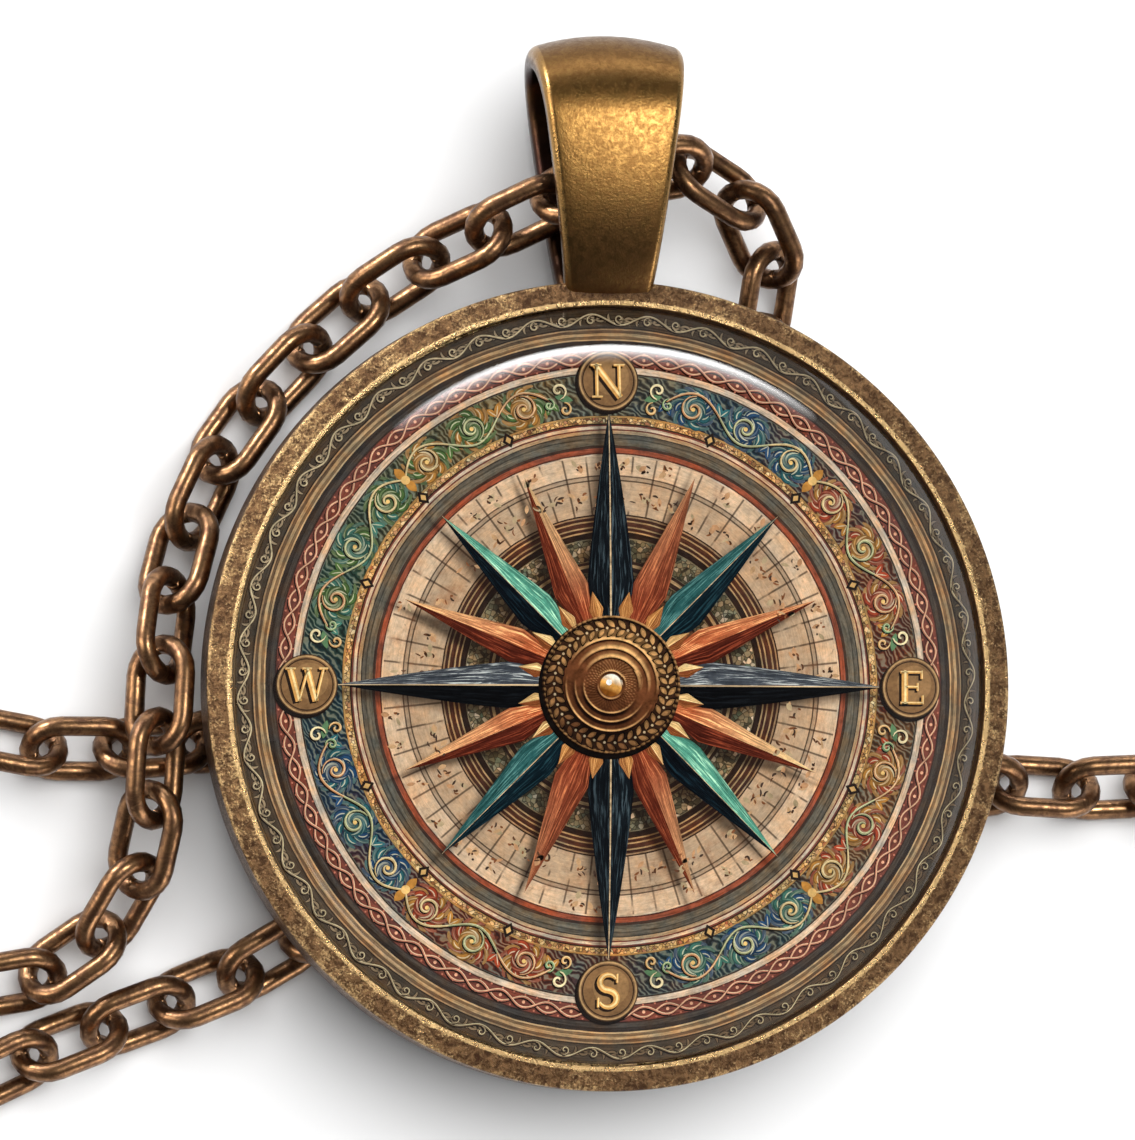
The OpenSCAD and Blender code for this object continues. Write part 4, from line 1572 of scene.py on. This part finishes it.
def make_chain_tree():
    """Geometry Nodes: a link of round wire on each edge of the joints' line, rolled to
    either side in turn."""
    tree, given, give = new_group(
        "cable_links",
        [("Geometry", "Geometry", None), ("Link Length", "Float", None),
         ("Link Width", "Float", None), ("Wire", "Float", None), ("Roll", "Float", None),
         ("Material", "Material", None)],
        [("Geometry", "Geometry")], "GeometryNodeTree")

    def node(kind, inputs=None, **settings):
        return add_node(tree, kind, inputs, **settings).outputs[0]

    length, width, wire = (given[name] for name in ("Link Length", "Link Width", "Wire"))
    box = node("GeometryNodeCurvePrimitiveQuadrilateral",
               {"Width": length - wire, "Height": width - wire})
    stadium = node("GeometryNodeFilletCurve", {
        "Curve": box, "Radius": (width - wire) * 0.4999, "Count": 5}, mode="POLY")
    section = node("GeometryNodeCurvePrimitiveCircle", {"Resolution": 10, "Radius": wire * 0.5})
    link = node("GeometryNodeCurveToMesh", {"Curve": stadium, "Profile Curve": section})
    smooth = node("GeometryNodeSetShadeSmooth", {"Geometry": link})
    points = node("GeometryNodeMeshToPoints", {"Mesh": given["Geometry"]}, mode="EDGES")
    along = node("GeometryNodeInputNamedAttribute", {"Name": "along"},
                 data_type="FLOAT_VECTOR")
    turn = node("FunctionNodeAlignRotationToVector", {"Vector": along}, axis="X")
    upright = node("FunctionNodeAlignRotationToVector", {
        "Rotation": turn, "Vector": (0, 0, 1)}, axis="Z", pivot_axis="X")
    side = Value(tree, node("GeometryNodeInputIndex")).math("MODULO", 2.0) * -2.0 + 1.0
    roll = node("ShaderNodeCombineXYZ", {"X": side * given["Roll"]})
    rolled = node("FunctionNodeRotateRotation", {
        "Rotation": upright, "Rotate By": node("FunctionNodeEulerToRotation", {"Euler": roll})},
        rotation_space="LOCAL")
    copies = node("GeometryNodeInstanceOnPoints", {
        "Points": points, "Instance": smooth, "Rotation": rolled})
    real = node("GeometryNodeRealizeInstances", {"Geometry": copies})
    give(Geometry=node("GeometryNodeSetMaterial", {
        "Geometry": real, "Material": given["Material"]}))
    return tree


def grown(piece, tree, name, **inputs):
    """Grows a piece by a Geometry Nodes tree and makes it a plain mesh."""
    growth = piece.modifiers.new("growth", "NODES")
    growth.node_group = tree
    for item in tree.interface.items_tree:
        if item.item_type == "SOCKET" and item.in_out == "INPUT":
            title = item.name.replace(" ", "_").lower()
            if title in inputs:
                growth[item.identifier] = inputs[title]
    return made_plain(piece, name)


def make_chain():
    joints = chain_joints()
    line = bpy.data.meshes.new("chain_line")
    line.from_pydata(joints, [(i, i + 1) for i in range(len(joints) - 1)], [])
    along = line.attributes.new("along", "FLOAT_VECTOR", "EDGE")
    for i, (start, end) in enumerate(zip(joints, joints[1:])):
        along.data[i].vector = end - start
    chain = grown(new_object("chain_line", line), make_chain_tree(), "chain_links",
                  link_length=LINK_L, link_width=LINK_W, wire=WIRE_D, roll=LINK_ROLL,
                  material=chain_bronze)
    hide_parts("chain")
    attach(chain, "root")


make_chain()


# The plain clasp and its two jump rings
def make_clasp():
    """The clasp's own form, merged and rounded off as a casting is."""
    shape = bmesh.new()
    shape.from_mesh(frame["nodes"]["clasp"].data)
    bmesh.ops.remove_doubles(shape, verts=shape.verts, dist=0.001 * MM)
    mesh = bpy.data.meshes.new("clasp_form")
    shape.to_mesh(mesh)
    shape.free()
    mesh.materials.clear()
    mesh.materials.append(clasp_bronze)
    form = new_object("clasp_form", mesh)
    remesh = form.modifiers.new("remesh", "REMESH")
    remesh.mode = "VOXEL"
    remesh.voxel_size = 0.1 * MM
    relax = form.modifiers.new("relax", "SMOOTH")
    relax.factor = 0.5
    relax.iterations = 26
    clasp = made_plain(form, "clasp_cast")
    soften(clasp.data, 60)
    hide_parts("clasp")
    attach(clasp, "root")


def make_ring(node, lean):
    """A jump ring of round wire, cut once where it was opened."""
    low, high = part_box(node)
    width, depth = high.x - low.x, high.y - low.y
    wire_r = (depth - width * cos(lean)) / 2 / (1 - cos(lean))
    bow_r = width / 2 - wire_r
    around, section, cut_at, cut = 56, 12, radians(60), radians(1.2)
    vertices = []
    for i in range(around):
        angle = cut_at + cut + (TURN - 2 * cut) * i / (around - 1)
        for k in range(section):
            twist = TURN * k / section
            place = Vector((cos(angle), sin(angle), 0)) * (bow_r + wire_r * cos(twist))
            place.z = wire_r * sin(twist)
            vertices.append(Matrix.Rotation(lean, 3, "X") @ place + (low + high) / 2)
    faces = sheet_faces(around, section)
    faces.append(tuple(range(section)))
    faces.append(tuple((around - 1) * section + k for k in reversed(range(section))))
    ring = new_piece(node + "_wire", vertices, faces, (clasp_bronze,), 50)
    facing_out(ring)
    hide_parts(node)
    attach(ring, "root")


make_clasp()
make_ring("clasp_ring", -LINK_ROLL)
make_ring("end_ring", LINK_ROLL)


# The pale floor and the studio's light
def make_floor():
    side = 4.0
    corners = [(-side, -side, 0), (side, -side, 0), (side, side, 0), (-side, side, 0)]
    material, _, _ = new_material("pale_floor", Base_Color=(0.78, 0.78, 0.78, 1), Roughness=0.9)
    floor = new_piece("floor", corners, [(0, 1, 2, 3)], (material,))


def mirror_way(azimuth, seen):
    """Way from the dome towards what it mirrors to the camera, at a compass angle from +X
    and a seen radius in mm."""
    towards, _, _ = view_axes()
    tilt = asin(seen * MM / CAP_R)
    normal = Vector((sin(tilt) * cos(azimuth), sin(tilt) * sin(azimuth), cos(tilt)))
    return normal * 2 * normal.dot(towards) - towards


def make_reflector(name, azimuths, radii, strength):
    """A curved light strip that the dome mirrors as an arc with soft ends and a soft inner
    side."""
    steps, rows, distance = 48, 14, 0.6
    vertices, glows = [], []
    for i in range(steps + 1):
        azimuth = radians(azimuths[0] + (azimuths[1] - azimuths[0]) * i / steps)
        for j in range(rows + 1):
            seen = radii[0] + (radii[1] - radii[0]) * j / rows
            vertices.append(centre + mirror_way(azimuth, seen) * distance)
            across = min(1.0, j / rows / 0.85) ** 4 * min(1.0, (rows - j) / 2 + 0.1)
            glows.append(sin(pi * i / steps) ** 0.8 * across)
    material, tree, _ = new_material(name)
    set_surface(tree, add_node(tree, "ShaderNodeEmission", {
        "Color": (1, 1, 1, 1), "Strength": Value(tree, mesh_value(tree, "glow")) * strength}))
    strip = new_piece(name, vertices, sheet_faces(steps + 1, rows + 1, close_columns=False),
                      (material,))
    set_attribute(strip, "glow", glows)
    strip.visible_camera = False
    strip.visible_shadow = False


SOFTBOXES = [
    # name, place from the dial in metres, width and height, watts, tint
    ("metal_key", (0.22, 0.1, 0.8), (0.12, 0.12), 4.3, (1, 1, 0.92)),
    ("lip_glint", (-0.4, 0.45, 0.22), (0.2, 0.1), 4.0, (1, 1, 1)),
    ("metal_left", (-0.7, 0.1, 0.4), (0.25, 0.5), 3.6, (1, 0.93, 0.82)),
    ("metal_low", (0.5, -0.6, 0.3), (0.7, 0.3), 3.0, (1, 0.95, 0.9)),
]
SKY_FROM = (0.3, 0.45, 1)


def pieces_named(name, starts):
    """A collection of the pieces whose names start in one of these ways."""
    found = bpy.data.collections.new(name)
    for piece in bpy.data.objects:
        if piece.name.startswith(starts):
            found.objects.link(piece)
    return found


def make_lamp(name, kind, power, place, receivers):
    """A lamp that shines from a place; it lights the receivers only, if they are given."""
    lamp = new_object(name, bpy.data.lights.new(name, kind))
    lamp.data.energy = power
    lamp.rotation_mode = "QUATERNION"
    lamp.rotation_quaternion = Vector(place).to_track_quat("Z", "Y")
    lamp.light_linking.receiver_collection = receivers
    return lamp


def make_softboxes():
    """Softboxes that light the metal only."""
    metals = pieces_named("metal_pieces", ("bezel", "chain", "clasp", "end_ring"))
    for name, place, size, power, tint in SOFTBOXES:
        lamp = make_lamp(name, "AREA", power, place, metals)
        lamp.location = centre + Vector(place)
        lamp.visible_camera = False
        lamp.data.shape = "RECTANGLE"
        lamp.data.size, lamp.data.size_y = size
        lamp.data.color = tint


def make_sky():
    """Very soft light from above that nothing mirrors, and the same without shadows on the
    floor alone, so that the shadows there stay pale."""
    floor_only = pieces_named("floor_only", ("floor",))
    for name, power, receivers in (("sky_lamp", 4.3, None), ("floor_fill", 1.1, floor_only)):
        lamp = make_lamp(name, "SUN", power, SKY_FROM, receivers)
        lamp.data.angle = radians(75)
        lamp.data.use_shadow = receivers is None
        lamp.visible_glossy = False
        lamp.visible_transmission = False


def make_world():
    """A dim tent, a little brighter near the horizon."""
    world = bpy.data.worlds.new("studio")
    world.use_nodes = True
    tree = world.node_tree
    way = add_node(tree, "ShaderNodeTexCoord").outputs["Generated"]
    height = add_node(tree, "ShaderNodeSeparateXYZ", {"Vector": way}).outputs["Z"]
    tent = [(place, (light, light, light, 1))
            for place, light in ((0.0, 0.42), (0.25, 0.24), (0.6, 0.09), (1.0, 0.03))]
    fill(tree, tree.nodes["Background"], {"Color": colour_steps(tree, height, tent)})
    bpy.context.scene.world = world


make_floor()
make_reflector("arc_reflector", (52, 132), (10.45, 11.32), 34.0)
make_reflector("left_reflector", (190, 236), (11.5, 11.95), 2.2)
make_softboxes()
make_sky()
make_world()
bpy.context.scene.view_settings.view_transform = "Standard"
